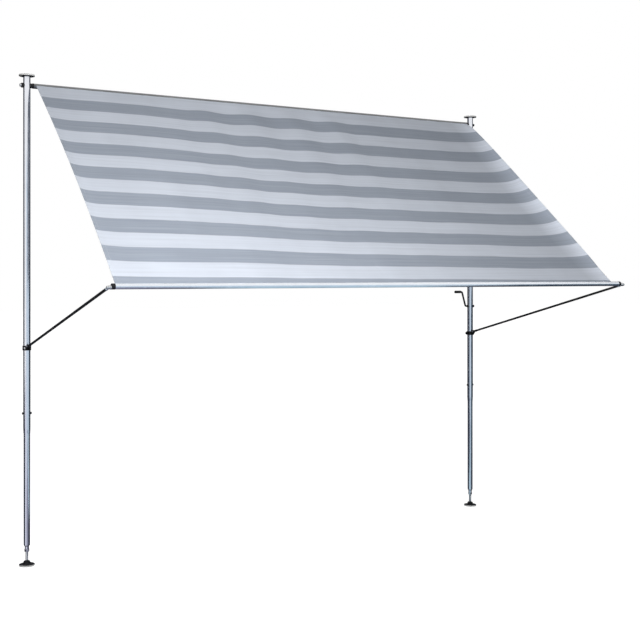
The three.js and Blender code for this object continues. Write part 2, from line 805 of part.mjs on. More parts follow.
// Turns a grid of points on two faces into a closed sheet. Both faces are split along the same
// diagonals, so that they stay one thickness apart.
function closedSheet(columns, rows, pointAt) {
  const points = [];
  for (const side of [-1, 1]) {
    for (let j = 0; j <= rows; j++) {
      for (let i = 0; i <= columns; i++) points.push(pointAt(i / columns, j / rows, side));
    }
  }
  const low = (j, i) => j * (columns + 1) + i;
  const top = (j, i) => low(rows + 1 + j, i);
  const quads = [];
  for (let j = 0; j < rows; j++) {
    for (let i = 0; i < columns; i++) {
      quads.push([top(j, i), top(j, i + 1), top(j + 1, i + 1), top(j + 1, i)]);
      quads.push([low(j, i), low(j + 1, i), low(j + 1, i + 1), low(j, i + 1)]);
    }
    quads.push([low(j, 0), top(j, 0), top(j + 1, 0), low(j + 1, 0)]);
    quads.push([top(j, columns), low(j, columns), low(j + 1, columns), top(j + 1, columns)]);
  }
  for (let i = 0; i < columns; i++) {
    quads.push([low(0, i), low(0, i + 1), top(0, i + 1), top(0, i)]);
    quads.push([top(rows, i), top(rows, i + 1), low(rows, i + 1), low(rows, i)]);
  }
  const geometry = new THREE.BufferGeometry().setFromPoints(points);
  geometry.setIndex(quads.flatMap(([a, b, c, d]) => [a, b, c, a, c, d]));
  return clean(geometry);
}

// Columns crowd towards the side edges, and rows towards both ends.
const CLOTH_COLUMNS = 44;
const CLOTH_ROWS = 14;

function clothSheet() {
  const spread = (u) => u - 0.11 * Math.sin(2 * Math.PI * u);
  const alongAt = (v) => {
    const step = v * CLOTH_ROWS;
    if (step <= 1) return LEAD * step;
    const w = (step - 1) / (CLOTH_ROWS - 1);
    return LEAD + (1 - LEAD) * (w - 0.1 * Math.sin(2 * Math.PI * w));
  };
  const probe = 0.004; // share of the run over which the cloth's slope is taken
  return closedSheet(CLOTH_COLUMNS, CLOTH_ROWS, (i, j, side) => {
    const across = spread(i);
    const along = alongAt(j);
    const ahead = clothPoint(across, Math.min(along + probe, 1));
    const run = ahead.sub(clothPoint(across, Math.max(along - probe, 0)));
    const out = new THREE.Vector3(0, run.z, -run.y).normalize();
    return clothPoint(across, along).addScaledVector(out, (side * CLOTH_THICK) / 2);
  });
}

// The left post, then the right one
const POSTS = [
  { side: "left", x: 0, bores: [[BOLT_R + GAP, ROLLER_Z]] },
  {
    side: "right",
    x: SPAN,
    bores: [
      [BUSH_R + GAP, ROLLER_Z],
      [BUSH_R + GAP, CRANK_Z],
    ],
  },
];

for (const { side, x, bores } of POSTS) {
  piece(`upper_tube_${side}`, STEEL, upperTube(x, [...bores, [SCREW_R + GAP, CLAMP_SCREW_Z]]));
  piece(`lower_tube_${side}`, STEEL, lowerTube(x));
  piece(`guide_bush_${side}`, BLACK, guideBush(x));
  piece(`clamp_screw_${side}_a`, DARK_STEEL, clampScrew(x, -1));
  piece(`clamp_screw_${side}_b`, DARK_STEEL, clampScrew(x, 1));
  piece(`jack_nut_${side}`, ZINC, jackNut(x));
  piece(`jack_spindle_${side}`, ZINC, jackSpindle(x));
  piece(`foot_plate_${side}`, BLACK, footPlate(x));
  piece(`foot_sole_${side}`, RUBBER, footSole(x));
  piece(`ceiling_plate_${side}`, BLACK, ceilingPlate(x));
  piece(`ceiling_pad_${side}`, RUBBER, ceilingPad(x));
  piece(`arm_collar_${side}`, BLACK, collar(x, x ? knobBore : screwPocket(SCREW_HEAD_R + GAP)));
  piece(`fork_pin_${side}`, ZINC, forkPin(x));
  piece(`arm_tube_${side}`, DARK_STEEL, armTube(x));
  piece(`arm_lower_eye_${side}`, DARK_STEEL, lowerEye(x));
  piece(`arm_upper_eye_${side}`, ZINC, upperEye(x));
  piece(`bar_cap_${side}`, BLACK, barCap(side));
  piece(`bar_bolt_${side}`, ZINC, barBolt(side));
  piece(`roller_plug_${side}`, BLACK, rollerPlug(x ? 1 : -1));
}
piece("collar_screw_left", ZINC, collarScrew(0));
piece("collar_knob_right", BLACK, collarKnob(SPAN));

// Roller, its bearings and its drive
const SADDLE_END = ROLLER_END - 5 - 2 * GAP;
piece("roller_tube", ROLLER_GREY, rollerTube());
piece("roller_bolt", ZINC, rollerBolt());
piece("roller_saddle_inner", BLACK, saddle(10, SADDLE_END, 13, BOLT_R + GAP).translate(0, 0, ROLLER_Z));
piece("roller_saddle_outer", BLACK, saddle(-30, -10, 13, BOLT_R + GAP).translate(0, 0, ROLLER_Z));
piece("roller_shaft", ZINC, rollerShaft());
piece("roller_nut", BLACK, capNut(ROLLER_Z));
piece("roller_pulley", BLACK, pulley(ROLLER_Z));
piece("shaft_bush_inner", BLACK, wallBush(-1, ROLLER_Z));
piece("shaft_bush_outer", BLACK, wallBush(1, ROLLER_Z));
piece("drive_cord", CORD, driveCord());
piece("crank_pulley", BLACK, pulley(CRANK_Z));
piece("crank_bush_inner", BLACK, wallBush(-1, CRANK_Z));
piece("crank_bush_outer", BLACK, wallBush(1, CRANK_Z));
piece("crank_rod", DARK_STEEL, crankRod());
piece("crank_grip", BLACK, crankGrip());
piece("crank_nut", BLACK, capNut(CRANK_Z));

// Drop bar and cloth
const rollerWelt = weltX(CLOTH_TOP[0], CLOTH_TOP[1]);
piece("roller_welt", PVC, rollerWelt.translate(0, -weltDepth(ROLLER_D), ROLLER_Z));
piece("drop_bar", ANODISED, dropBar());
const barWeltAt = BAR_HEADING.clone().multiplyScalar(weltDepth(BAR_D));
const barWelt = weltX(CLOTH_FOOT[0], CLOTH_FOOT[1]);
piece("bar_welt", PVC, barWelt.translate(0, BAR_Y + barWeltAt.x, BAR_Z + barWeltAt.y));
piece("cloth", CLOTH, clothSheet());

export default group;
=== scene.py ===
"""Looks of a clamp awning: smooth metal posts, moulded black fittings and a striped knitted cloth.

Shapes are drawn in millimetres and turned into metres when a mesh is made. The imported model's
frame has its origin on the floor under the left post, +X to the right post and +Z up, and the
cloth comes out towards -Y.
"""

import json
import math

import bmesh
import bpy
from mathutils import Matrix, Vector, geometry, noise

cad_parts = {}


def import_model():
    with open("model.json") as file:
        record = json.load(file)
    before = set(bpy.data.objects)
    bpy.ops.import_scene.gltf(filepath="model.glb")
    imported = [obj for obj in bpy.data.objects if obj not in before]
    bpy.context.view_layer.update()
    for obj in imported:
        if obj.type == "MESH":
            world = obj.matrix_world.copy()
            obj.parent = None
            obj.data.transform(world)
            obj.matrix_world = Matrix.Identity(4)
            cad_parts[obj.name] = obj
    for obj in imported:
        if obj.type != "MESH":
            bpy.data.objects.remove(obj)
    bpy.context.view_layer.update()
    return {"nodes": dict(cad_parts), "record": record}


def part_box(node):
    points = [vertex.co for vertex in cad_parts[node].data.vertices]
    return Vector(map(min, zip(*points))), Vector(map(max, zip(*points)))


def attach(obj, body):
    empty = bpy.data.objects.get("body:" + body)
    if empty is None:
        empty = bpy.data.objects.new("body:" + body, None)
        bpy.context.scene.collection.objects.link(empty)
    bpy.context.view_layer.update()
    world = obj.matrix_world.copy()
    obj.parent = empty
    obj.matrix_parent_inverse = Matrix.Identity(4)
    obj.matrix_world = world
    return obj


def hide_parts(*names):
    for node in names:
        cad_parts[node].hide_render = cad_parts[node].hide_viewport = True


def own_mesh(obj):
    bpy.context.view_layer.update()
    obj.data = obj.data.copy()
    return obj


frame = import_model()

MM = 0.001
BODY_OF = {n: body for body, ns in frame["record"]["behaviour"]["bodies"].items() for n in ns}
SLOT_OF = {row["node"]: row["material_slot"] for row in frame["record"]["subparts"]}


def box_mm(node):
    low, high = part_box(node)
    return low / MM, high / MM


def middle(node):
    low, high = box_mm(node)
    return (low + high) / 2


# Places and sizes, read from the frame where the frame has them
POST_X = {side: middle(f"upper_tube_{side}").x for side in ("left", "right")}
SPAN = POST_X["right"] - POST_X["left"]
UPPER_R = 19.0
LOWER_R = 17.0
WALL = 1.5
UPPER_LOW, UPPER_HIGH = (box_mm("upper_tube_left")[k].z for k in (0, 1))
LOWER_LOW, LOWER_HIGH = (box_mm("lower_tube_left")[k].z for k in (0, 1))
ROLLER_Z = middle("roller_bolt").z
ROLLER_R = 14.0
CRANK_Z = middle("crank_pulley").z
COLLAR_Z = 1174.5
PIVOT = Vector((0, middle("fork_pin_left").y, middle("fork_pin_left").z))
BOLT = Vector((0, middle("bar_bolt_left").y, middle("bar_bolt_left").z))
BOLT_DROP = 4.0
BAR = BOLT + Vector((0, 0, BOLT_DROP))
BAR_R = 12.5
BAR_SPAN = (box_mm("drop_bar")[0].x, box_mm("drop_bar")[1].x)
SHAFT_R = 6.0
SPINDLE_R = 8.0
GAP = 0.35


# Meshes
MERGED_WITHIN = 1e-6
COLLAPSED_WITHIN = 1e-7


def mesh_object(name, points, faces, merged=True, cut=None):
    """A piece from points in millimetres. cut gives each point its place on the flat cloth."""
    mesh = bpy.data.meshes.new(name)
    mesh.from_pydata([Vector(p) * MM for p in points], [], faces)
    if cut:
        layer = mesh.uv_layers.new(name="cut")
        for loop in mesh.loops:
            layer.data[loop.index].uv = cut[loop.vertex_index]
    weld(mesh, merged)
    obj = bpy.data.objects.new(name, mesh)
    bpy.context.scene.collection.objects.link(obj)
    return obj


def weld(mesh, merged=True):
    """Merges points that coincide, drops collapsed faces and turns all faces outwards."""
    bm = bmesh.new()
    bm.from_mesh(mesh)
    if merged:
        bmesh.ops.remove_doubles(bm, verts=bm.verts, dist=MERGED_WITHIN)
        bmesh.ops.dissolve_degenerate(bm, edges=bm.edges, dist=COLLAPSED_WITHIN)
    bmesh.ops.recalc_face_normals(bm, faces=bm.faces)
    bm.to_mesh(mesh)
    bm.free()


def curve(start, corner, end, t):
    """A point of the curve that rounds a corner, from its start at 0 to its end at 1."""
    return start * (1 - t) ** 2 + corner * 2 * t * (1 - t) + end * t * t


def facing(sign):
    return "+X" if sign > 0 else "-X"


def soften(profile, radius, closed):
    """Rounds the corners of a profile with short curves."""
    rounded = []
    count = len(profile)
    for i, here in enumerate(profile):
        here = Vector(here)
        if not closed and i in (0, count - 1):
            rounded.append(here)
            continue
        before = Vector(profile[i - 1]) - here
        after = Vector(profile[(i + 1) % count]) - here
        reach = min(radius, before.length * 0.45, after.length * 0.45)
        if reach < 0.02 or abs(before.angle(after) - math.pi) < 0.1:
            rounded.append(here)
            continue
        start = here + before.normalized() * reach
        end = here + after.normalized() * reach
        rounded += [curve(start, here, end, t) for t in (0, 0.33, 0.67, 1)]
    return rounded


ALONG = {
    "+Z": Matrix.Identity(3),
    "+X": Matrix(((0, 0, 1), (1, 0, 0), (0, 1, 0))),
    "-X": Matrix(((0, 0, -1), (-1, 0, 0), (0, 1, 0))),
}


def turned(name, profile, at, axis="+Z", steps=64, soft=0.4, ring=False, relief=None):
    """Revolves a profile of (radius, run) points about an axis through a point.

    A ring's profile closes on itself. relief(radius, run, angle) gives a changed radius.
    """
    rows = soften(profile, soft, ring)
    place = ALONG[axis] if isinstance(axis, str) else axis
    points, faces = [], []
    for r, z in rows:
        for k in range(steps):
            a = 2 * math.pi * k / steps
            q = relief(r, z, a) if relief else r
            points.append(place @ Vector((q * math.cos(a), q * math.sin(a), z)) + Vector(at))
    count = len(rows)
    for i in range(count if ring else count - 1):
        j = (i + 1) % count
        for k in range(steps):
            n = (k + 1) % steps
            faces.append((i * steps + k, i * steps + n, j * steps + n, j * steps + k))
    return mesh_object(name, points, faces)


def arc(radius, z, start, end, steps):
    """Points of a circular arc in a profile, in degrees from the axis of +r."""
    angles = [math.radians(start + (end - start) * k / steps) for k in range(steps + 1)]
    return [(max(radius * math.cos(a), 0), z + radius * math.sin(a)) for a in angles]


def sleeve(outer, inner, low, high):
    return [(outer, low), (outer, high), (inner, high), (inner, low)]


def solid(radius, low, high):
    return [(0, low), (radius, low), (radius, high), (0, high)]


def prism(name, outline, holes, place, low, high):
    """Extrudes a flat outline with holes between two heights, then moves it by a matrix."""
    loops = [outline, *holes]
    flat = [Vector((x, y, 0)) for loop in loops for x, y in loop]
    tris = geometry.tessellate_polygon([[Vector((x, y, 0)) for x, y in loop] for loop in loops])
    count = len(flat)
    points = [place @ (p + Vector((0, 0, z))) for z in (low, high) for p in flat]
    faces = [tuple(t) for t in tris] + [tuple(i + count for i in reversed(t)) for t in tris]
    start = 0
    for loop in loops:
        for i in range(len(loop)):
            j = (i + 1) % len(loop)
            faces.append((start + i, start + j, count + start + j, count + start + i))
        start += len(loop)
    return mesh_object(name, points, faces)


def circle(x, y, radius, start=0.0, end=360.0, steps=24, full=True):
    count = steps if full else steps + 1
    angles = [math.radians(start + (end - start) * k / steps) for k in range(count)]
    return [(x + radius * math.cos(a), y + radius * math.sin(a)) for a in angles]


def hex_socket(head, at, x, sign, radius, depth):
    """Cuts a hexagon socket into a head, from a place along X towards a side."""
    place = Matrix.Translation(Vector(at) + Vector((x, 0, 0)))
    place = place @ Matrix.Rotation(sign * math.pi / 2, 4, "Y")
    return carve(head, prism("socket", circle(0, 0, radius, steps=6), [], place, 0, depth))


def bake(obj):
    """Applies the modifiers of an object."""
    graph = bpy.context.evaluated_depsgraph_get()
    mesh = bpy.data.meshes.new_from_object(obj.evaluated_get(graph))
    obj.modifiers.clear()
    obj.data = mesh
    return obj


def combine(obj, others, operation):
    for other in others:
        step = obj.modifiers.new(operation, "BOOLEAN")
        step.operation = operation
        step.object = other
        step.solver = "EXACT"
        bake(obj)
        bpy.data.objects.remove(other)
    weld(obj.data)
    return obj


def carve(obj, *cutters):
    return combine(obj, cutters, "DIFFERENCE")


def unite(obj, *others):
    return combine(obj, others, "UNION")


BEVELLED_FROM = 32  # degrees between faces


def bevel(obj, width):
    step = obj.modifiers.new("bevel", "BEVEL")
    step.width = width * MM
    step.segments = 3
    step.limit_method = "ANGLE"
    step.angle_limit = math.radians(BEVELLED_FROM)
    return bake(obj)


def smooth(obj, sharp=42):
    obj.data.shade_smooth()
    obj.data.set_sharp_from_angle(angle=math.radians(sharp))
    step = obj.modifiers.new("even_normals", "WEIGHTED_NORMAL")
    step.keep_sharp = True
    step.weight = 60
    return obj


def stand_for(obj, *nodes, material=None):
    """Lets a piece replace CAD nodes, with their body and their material slot."""
    first = nodes[0]
    obj.data.materials.clear()
    obj.data.materials.append(material or MATERIALS[SLOT_OF[first]])
    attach(obj, BODY_OF[first])
    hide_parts(*nodes)
    return obj


# Materials
def add(tree, kind, inputs=None, **settings):
    """Adds a node, sets its fields, and sets or links its inputs."""
    node = tree.nodes.new(kind)
    for key, value in settings.items():
        setattr(node, key, value)
    for key, value in (inputs or {}).items():
        if isinstance(value, bpy.types.NodeSocket):
            tree.links.new(value, node.inputs[key])
        else:
            node.inputs[key].default_value = value
    return node


def math_node(tree, operation, *values, clamp=False):
    node = add(tree, "ShaderNodeMath", dict(enumerate(values)), operation=operation)
    node.use_clamp = clamp
    return node.outputs[0]


def surface(name, **sockets):
    """A new material with a Principled shader whose plain values sit on its own sockets."""
    material = bpy.data.materials.new(name)
    material.use_nodes = True
    tree = material.node_tree
    shader = tree.nodes["Principled BSDF"]
    for key, value in sockets.items():
        shader.inputs[key.replace("_", " ")].default_value = value
    return material, tree, shader


def pattern(tree, scale, detail=3.0, size=1.0):
    """Noise over the object's own place, stretched by a scale along each axis."""
    place = add(tree, "ShaderNodeTexCoord").outputs["Object"]
    turned_to = add(tree, "ShaderNodeMapping", {"Vector": place, "Scale": scale})
    fields = {"Vector": turned_to.outputs[0], "Scale": size, "Detail": detail}
    return add(tree, "ShaderNodeTexNoise", fields).outputs["Fac"]


def spread(tree, value, low, high, start=0.3, end=0.7):
    fields = {"Value": value, "From Min": start, "From Max": end, "To Min": low, "To Max": high}
    return add(tree, "ShaderNodeMapRange", fields).outputs[0]


def blend_colours(tree, factor, first, second):
    node = add(tree, "ShaderNodeMix", data_type="RGBA")
    tree.links.new(factor, node.inputs[0])
    for socket, colour in ((node.inputs[6], first), (node.inputs[7], second)):
        if isinstance(colour, bpy.types.NodeSocket):
            tree.links.new(colour, socket)
        else:
            socket.default_value = (*colour, 1)
    return node.outputs[2]


def bump(tree, shader, height, strength, distance):
    fields = {"Height": height, "Strength": strength, "Distance": distance}
    node = add(tree, "ShaderNodeBump", fields)
    tree.links.new(node.outputs[0], shader.inputs["Normal"])


def drawn_metal(name, dark, light, roughness, grain, lift):
    """Metal with fine drawing lines along one axis, and broad soft smudges."""
    material, tree, shader = surface(name, Metallic=1.0)
    lines = pattern(tree, grain, detail=4)
    smudges = pattern(tree, (7, 7, 7), detail=2)
    tone = blend_colours(tree, spread(tree, smudges, 0, 1), dark, light)
    tree.links.new(tone, shader.inputs["Base Color"])
    rough = spread(tree, lines, *roughness)
    rough = math_node(tree, "ADD", rough, spread(tree, smudges, -0.03, 0.03))
    tree.links.new(rough, shader.inputs["Roughness"])
    bump(tree, shader, lines, lift, 0.0003)
    return material


def coated(name, dark, light, roughness, grain_size, lift, shine=0.3):
    """Moulded plastic or powder coat: an even fine grain, with slightly uneven gloss."""
    material, tree, shader = surface(name, Specular_IOR_Level=shine)
    grain = pattern(tree, (1, 1, 1), detail=3, size=grain_size)
    clouds = pattern(tree, (1, 1, 1), detail=3, size=22)
    tone = blend_colours(tree, spread(tree, clouds, 0, 1), dark, light)
    tree.links.new(tone, shader.inputs["Base Color"])
    tree.links.new(spread(tree, clouds, *roughness), shader.inputs["Roughness"])
    bump(tree, shader, grain, lift, 0.0004)
    return material


FINE, LONG = 620.0, 5.0
UPRIGHT_LINES = (FINE, FINE, LONG)
LEVEL_LINES = (LONG, FINE, FINE)
METALS = {
    "steel_tube": ((0.76, 0.78, 0.83), (0.83, 0.85, 0.90), (0.13, 0.19), UPRIGHT_LINES, 0.02),
    "zinc": ((0.68, 0.69, 0.70), (0.78, 0.79, 0.80), (0.2, 0.32), (90, 90, 90), 0.06),
    "anodised_bar": ((0.82, 0.85, 0.90), (0.88, 0.91, 0.95), (0.2, 0.28), LEVEL_LINES, 0.02),
    "roller_grey": ((0.17, 0.175, 0.18), (0.25, 0.255, 0.26), (0.4, 0.5), LEVEL_LINES, 0.02),
}
COATS = {
    "dark_steel": ((0.014, 0.014, 0.015), (0.026, 0.026, 0.028), (0.42, 0.52), 900, 0.1, 0.14),
    "black_plastic": ((0.004, 0.004, 0.005), (0.009, 0.009, 0.01), (0.4, 0.5), 1400, 0.15),
    "pad_rubber": ((0.58, 0.58, 0.57), (0.66, 0.66, 0.65), (0.7, 0.85), 1100, 0.3),
    "welt_pvc": ((0.66, 0.67, 0.69), (0.74, 0.75, 0.77), (0.5, 0.6), 700, 0.1),
    "cord": ((0.04, 0.042, 0.047), (0.09, 0.092, 0.1), (0.8, 0.9), 2600, 0.6),
}
MATERIALS = {name: drawn_metal(name, *row) for name, row in METALS.items()}
MATERIALS |= {name: coated(name, *row) for name, row in COATS.items()}


# Posts
def upper_post(side):
    x = POST_X[side]
    low, high = UPPER_LOW, UPPER_HIGH
    profile = [
        (UPPER_R - 1.1, low),
        (UPPER_R - 0.9, low + 8),
        (UPPER_R, low + 24),
        (UPPER_R, high),
        (UPPER_R - WALL, high),
        (UPPER_R - WALL, low),
    ]
    tube = turned(f"post_upper_{side}", profile, (x, 0, 0), steps=96, soft=0.5, ring=True)
    return stand_for(smooth(tube), f"upper_tube_{side}")


def lower_post(side):
    x = POST_X[side]
    low, high = LOWER_LOW, LOWER_HIGH
    bore = SPINDLE_R + GAP
    profile = [
        (11.2, low),
        (11.8, low + 14),
        (LOWER_R, low + 21),
        (LOWER_R, high),
        (LOWER_R - WALL, high),
        (LOWER_R - WALL, low + 25),
        (bore, low + 10),
        (bore, low),
    ]
    tube = turned(f"post_lower_{side}", profile, (x, 0, 0), steps=96, soft=1.6, ring=True)
    return stand_for(smooth(tube), f"lower_tube_{side}")


def clamp_screw(side, letter):
    """Button screw with a hexagon socket, standing out of the post on one side."""
    sign = -1 if letter == "a" else 1
    tip, head = LOWER_R + GAP, UPPER_R + GAP
    profile = [
        (0, tip),
        (4, tip),
        (4, head),
        (5.5, head),
        (6.5, head + 1.5),
        (6.5, head + 4.5),
        (5.5, head + 6),
        (0, head + 6),
    ]
    at = (POST_X[side], 0, middle(f"clamp_screw_{side}_a").z)
    notch = lambda r, z, a: r - 0.3 * (r > 6.2) * max(0, math.cos(14 * a))
    name = f"clamp_screw_{side}_{letter}"
    screw = turned(f"{name}_head", profile, at, facing(sign), 84, 0.7, relief=notch)
    return stand_for(smooth(hex_socket(screw, at, sign * (head + 3.5), sign, 2.8, 9)), name)


THREAD_PITCH = 4.0
THREAD_DEPTH = 1.1


def thread(top, bottom):
    """Relief of a trapezoidal thread that fades in and out at its ends."""

    def relief(r, z, a):
        if not bottom < z < top:
            return r
        turn = (z / THREAD_PITCH - a / (2 * math.pi)) % 1.0
        flank = min(max((abs(turn - 0.5) - 0.13) / 0.16, 0), 1)
        fade = min((z - bottom) / THREAD_PITCH, (top - z) / THREAD_PITCH, 1)
        return r - THREAD_DEPTH * (1 - flank) * fade

    return relief


def spindle(side):
    x = POST_X[side]
    ball_r, ball_z, radius = 7.5, 15.0, SPINDLE_R
    low, high = 31.0, 160.0
    rows = int((high - low) / THREAD_PITCH * 9)
    threaded = [(radius, low + (high - low) * k / rows) for k in range(rows + 1)]
    profile = [*arc(ball_r, ball_z, -90, 46, 14), (5.2, 24), (5.2, 27.5), (radius, 30.5)]
    profile += [*threaded, (radius, 288), (radius - 1.5, 290), (0, 290)]
    name = f"spindle_thread_{side}"
    obj = turned(name, profile, (x, 0, 0), steps=40, soft=0.0, relief=thread(high, low))
    return stand_for(smooth(obj, 60), f"jack_spindle_{side}")


def levelling_nut(side):
    """A hexagon nut with chamfered corners on the spindle."""
    low, high = (box_mm(f"jack_nut_{side}")[k].z for k in (0, 1))
    place = Matrix.Translation((POST_X[side], 0, 0))
    corner = 24 / math.sqrt(3)
    bore = circle(0, 0, SPINDLE_R + GAP, steps=48)
    nut = prism("nut", circle(0, 0, corner, steps=6), [bore], place, low, high)
    cone = [(0, low - 1), (corner - 1.8, low - 1), (corner + 0.3, low + 3)]
    cone += [(corner + 0.3, high - 3), (corner - 1.8, high + 1), (0, high + 1)]
    shell = turned("cone", cone, (POST_X[side], 0, 0), steps=72, soft=0)
    combine(nut, [shell], "INTERSECT")
    nut.name = f"nut_{side}"
    return stand_for(smooth(nut, 25), f"jack_nut_{side}")


PLATE_R = 40.5


def foot(side):
    """Black foot plate: a ribbed hub over a thin flange with a rolled rim."""
    x = POST_X[side]
    low = 4.35
    rim = PLATE_R
    hub = [
        (0, low),
        (rim, low),
        (rim, low + 1.7),
        (rim - 2, low + 2.6),
        (rim - 4, low + 2.2),
        (26, low + 3.0),
        (20.5, low + 5.2),
        (18.6, low + 10),
        (18, 22),
        (16, 25),
        (9.2, 25),
        *arc(8, 15, 35, -90, 12),
    ]
    ribs = lambda r, z, a: r - 0.55 * (15 < r < 18.7) * (z > 13) * (0.5 + 0.5 * math.cos(18 * a))
    plate = turned(f"foot_{side}", hub, (x, 0, 0), steps=144, soft=0.9, relief=ribs)
    stand_for(smooth(plate), f"foot_plate_{side}")
    cup = [(0, 0), (41.6, 0), (42.4, low + 3), (41.4, low + 3.6), (rim + GAP, low + 3.4)]
    cup += [(rim + GAP, low - GAP), (0, low - GAP)]
    pad = turned(f"sole_{side}", cup, (x, 0, 0), steps=216, soft=0.7, relief=treads)
    stand_for(smooth(pad), f"foot_sole_{side}")


def treads(r, z, a):
    """Shallow grip notches round a rubber pad."""
    return r - 0.4 * (r > 41.2) * (0.5 + 0.5 * math.cos(36 * a))


def ceiling(side):
    x = POST_X[side]
    pad_low, pad_high = (box_mm(f"ceiling_pad_{side}")[k].z for k in (0, 1))
    top = pad_low - GAP
    low = top - 4
    profile = [
        (11, low - 36),
        (UPPER_R - WALL - GAP, low - 36),
        (UPPER_R - WALL - GAP, low),
        (24, low),
        (38.4, low + 0.4),
        (PLATE_R - 0.2, low + 1.6),
        (PLATE_R, top),
        (11, top),
    ]
    plate = turned(f"ceiling_flange_{side}", profile, (x, 0, 0), steps=128, soft=0.7, ring=True)
    stand_for(smooth(plate), f"ceiling_plate_{side}")
    inner = PLATE_R + GAP
    cup = [(0, pad_low), (inner, pad_low), (inner, low + 0.6), (41.6, low + 0.3)]
    cup += [(42.4, low + 1), (41.8, pad_high), (0, pad_high)]
    pad = turned(f"ceiling_cushion_{side}", cup, (x, 0, 0), steps=216, soft=0.7, relief=treads)
    stand_for(smooth(pad), f"ceiling_pad_{side}")


# Arm collars and arms
COLLAR_R = 23.0
COLLAR_HALF = 12.5
FORK_GAP, FORK_EAR = 3.6, 5.0
PIN_R = 4.0
YZ = Matrix(((0, 0, 1, 0), (1, 0, 0, 0), (0, 1, 0, 0), (0, 0, 0, 1)))


def ear_outline():
    back = -UPPER_R - 0.6
    y, z = PIVOT.y, PIVOT.z
    return [
        (back, COLLAR_Z - COLLAR_HALF + 2),
        (back, COLLAR_Z + COLLAR_HALF),
        (y + 4, z + 9.2),
        *circle(y, z, 9.8, 72, 225, 18, full=False),
        (back - 8, COLLAR_Z - COLLAR_HALF + 2),
    ]


def collar(side):
    x = POST_X[side]
    span = (COLLAR_Z - COLLAR_HALF, COLLAR_Z + COLLAR_HALF)
    ring = sleeve(COLLAR_R, UPPER_R - 3, *span)
    band = turned(f"collar_{side}", ring, (x, 0, 0), ring=True, soft=1.2)
    place = Matrix.Translation((x, 0, 0)) @ YZ
    ears = []
    for near in (-FORK_GAP - FORK_EAR, FORK_GAP):
        ear = prism("ear", ear_outline(), [], place, near, near + FORK_EAR)
        ears.append(bevel(ear, 0.7))
    core = solid(UPPER_R + GAP, PIVOT.z - 60, PIVOT.z + 60)
    bore = turned("bore", core, (x, 0, 0), steps=96, soft=0)
    hole = turned("hole", solid(PIN_R + GAP, -20, 20), (x, PIVOT.y, PIVOT.z), "+X", 32, 0)
    if side == "left":
        sunk = turned("sunk", solid(4.95, 19.1, 40), (x, 0, COLLAR_Z), FRONT_LEFT, 32, 0)
    else:
        sunk = turned("sunk", solid(3.4, 18, 40), (x, 0, COLLAR_Z), "-X", 32, 0)
    carve(unite(band, *ears), bore, hole, sunk)
    return stand_for(smooth(band, 32), f"arm_collar_{side}")


FRONT_LEFT = Matrix.Rotation(math.radians(225), 3, "Z") @ ALONG["+X"]


def collar_screw():
    at = (POST_X["left"], 0, COLLAR_Z)
    head = [(0, UPPER_R + 0.6), (4.6, UPPER_R + 0.6), (4.6, COLLAR_R + 1.6), (0, COLLAR_R + 1.6)]
    screw = turned("sunk_screw", head, at, FRONT_LEFT, 48, 0.6)
    place = Matrix.Translation(at) @ FRONT_LEFT.to_4x4()
    socket = prism("socket", circle(0, 0, 2.3, steps=6), [], place, COLLAR_R - 1, COLLAR_R + 6)
    return stand_for(smooth(carve(screw, socket)), "collar_screw_left")


def collar_knob():
    profile = [
        (0, UPPER_R + 0.6),
        (3, UPPER_R + 0.6),
        (3, COLLAR_R + GAP),
        (7.5, COLLAR_R + GAP + 0.6),
        (7.5, COLLAR_R + 3),
        (9.5, COLLAR_R + 5),
        (9.5, COLLAR_R + 10),
        (8, COLLAR_R + 12),
        (0, COLLAR_R + 12),
    ]
    lobes = lambda r, z, a: r - 1.5 * (r > 7.6) * (0.5 + 0.5 * math.cos(6 * a)) ** 2
    at = (POST_X["right"], 0, COLLAR_Z)
    knob = turned("star_knob", profile, at, "-X", 96, 0.8, relief=lobes)
    return stand_for(smooth(knob), "collar_knob_right")


def fork_pin(side):
    reach = FORK_GAP + FORK_EAR + GAP
    profile = [
        (0, -reach - 3),
        (6.5, -reach - 3),
        (6.5, -reach),
        (PIN_R, -reach),
        (PIN_R, reach),
        (6, reach),
        (6, reach + 2.5),
        (0, reach + 2.5),
    ]
    pin = turned(f"pin_{side}", profile, (POST_X[side], PIVOT.y, PIVOT.z), "+X", 48, 0.8)
    return stand_for(smooth(pin), f"fork_pin_{side}")


ARM_R = 6.5
ARM_RUN = Vector((0, BOLT.y - PIVOT.y, BOLT.z - PIVOT.z))
ARM_LENGTH = ARM_RUN.length
ARM_TURN = Matrix.Rotation(math.atan2(-ARM_RUN.y, ARM_RUN.z), 4, "X")
EYE_R = 8.5
EYE_HALF = 2.8


def along_arm(side):
    return Matrix.Translation((POST_X[side], PIVOT.y, PIVOT.z)) @ ARM_TURN


def arm_tube(side):
    low = 34.0
    high = ARM_LENGTH - low
    place = along_arm(side)
    profile = sleeve(ARM_R, ARM_R - 1.3, low, high)
    tube = turned(f"arm_{side}", profile, place.translation, ARM_TURN.to_3x3(), 48, 0.4, ring=True)
    return stand_for(smooth(tube), f"arm_tube_{side}")


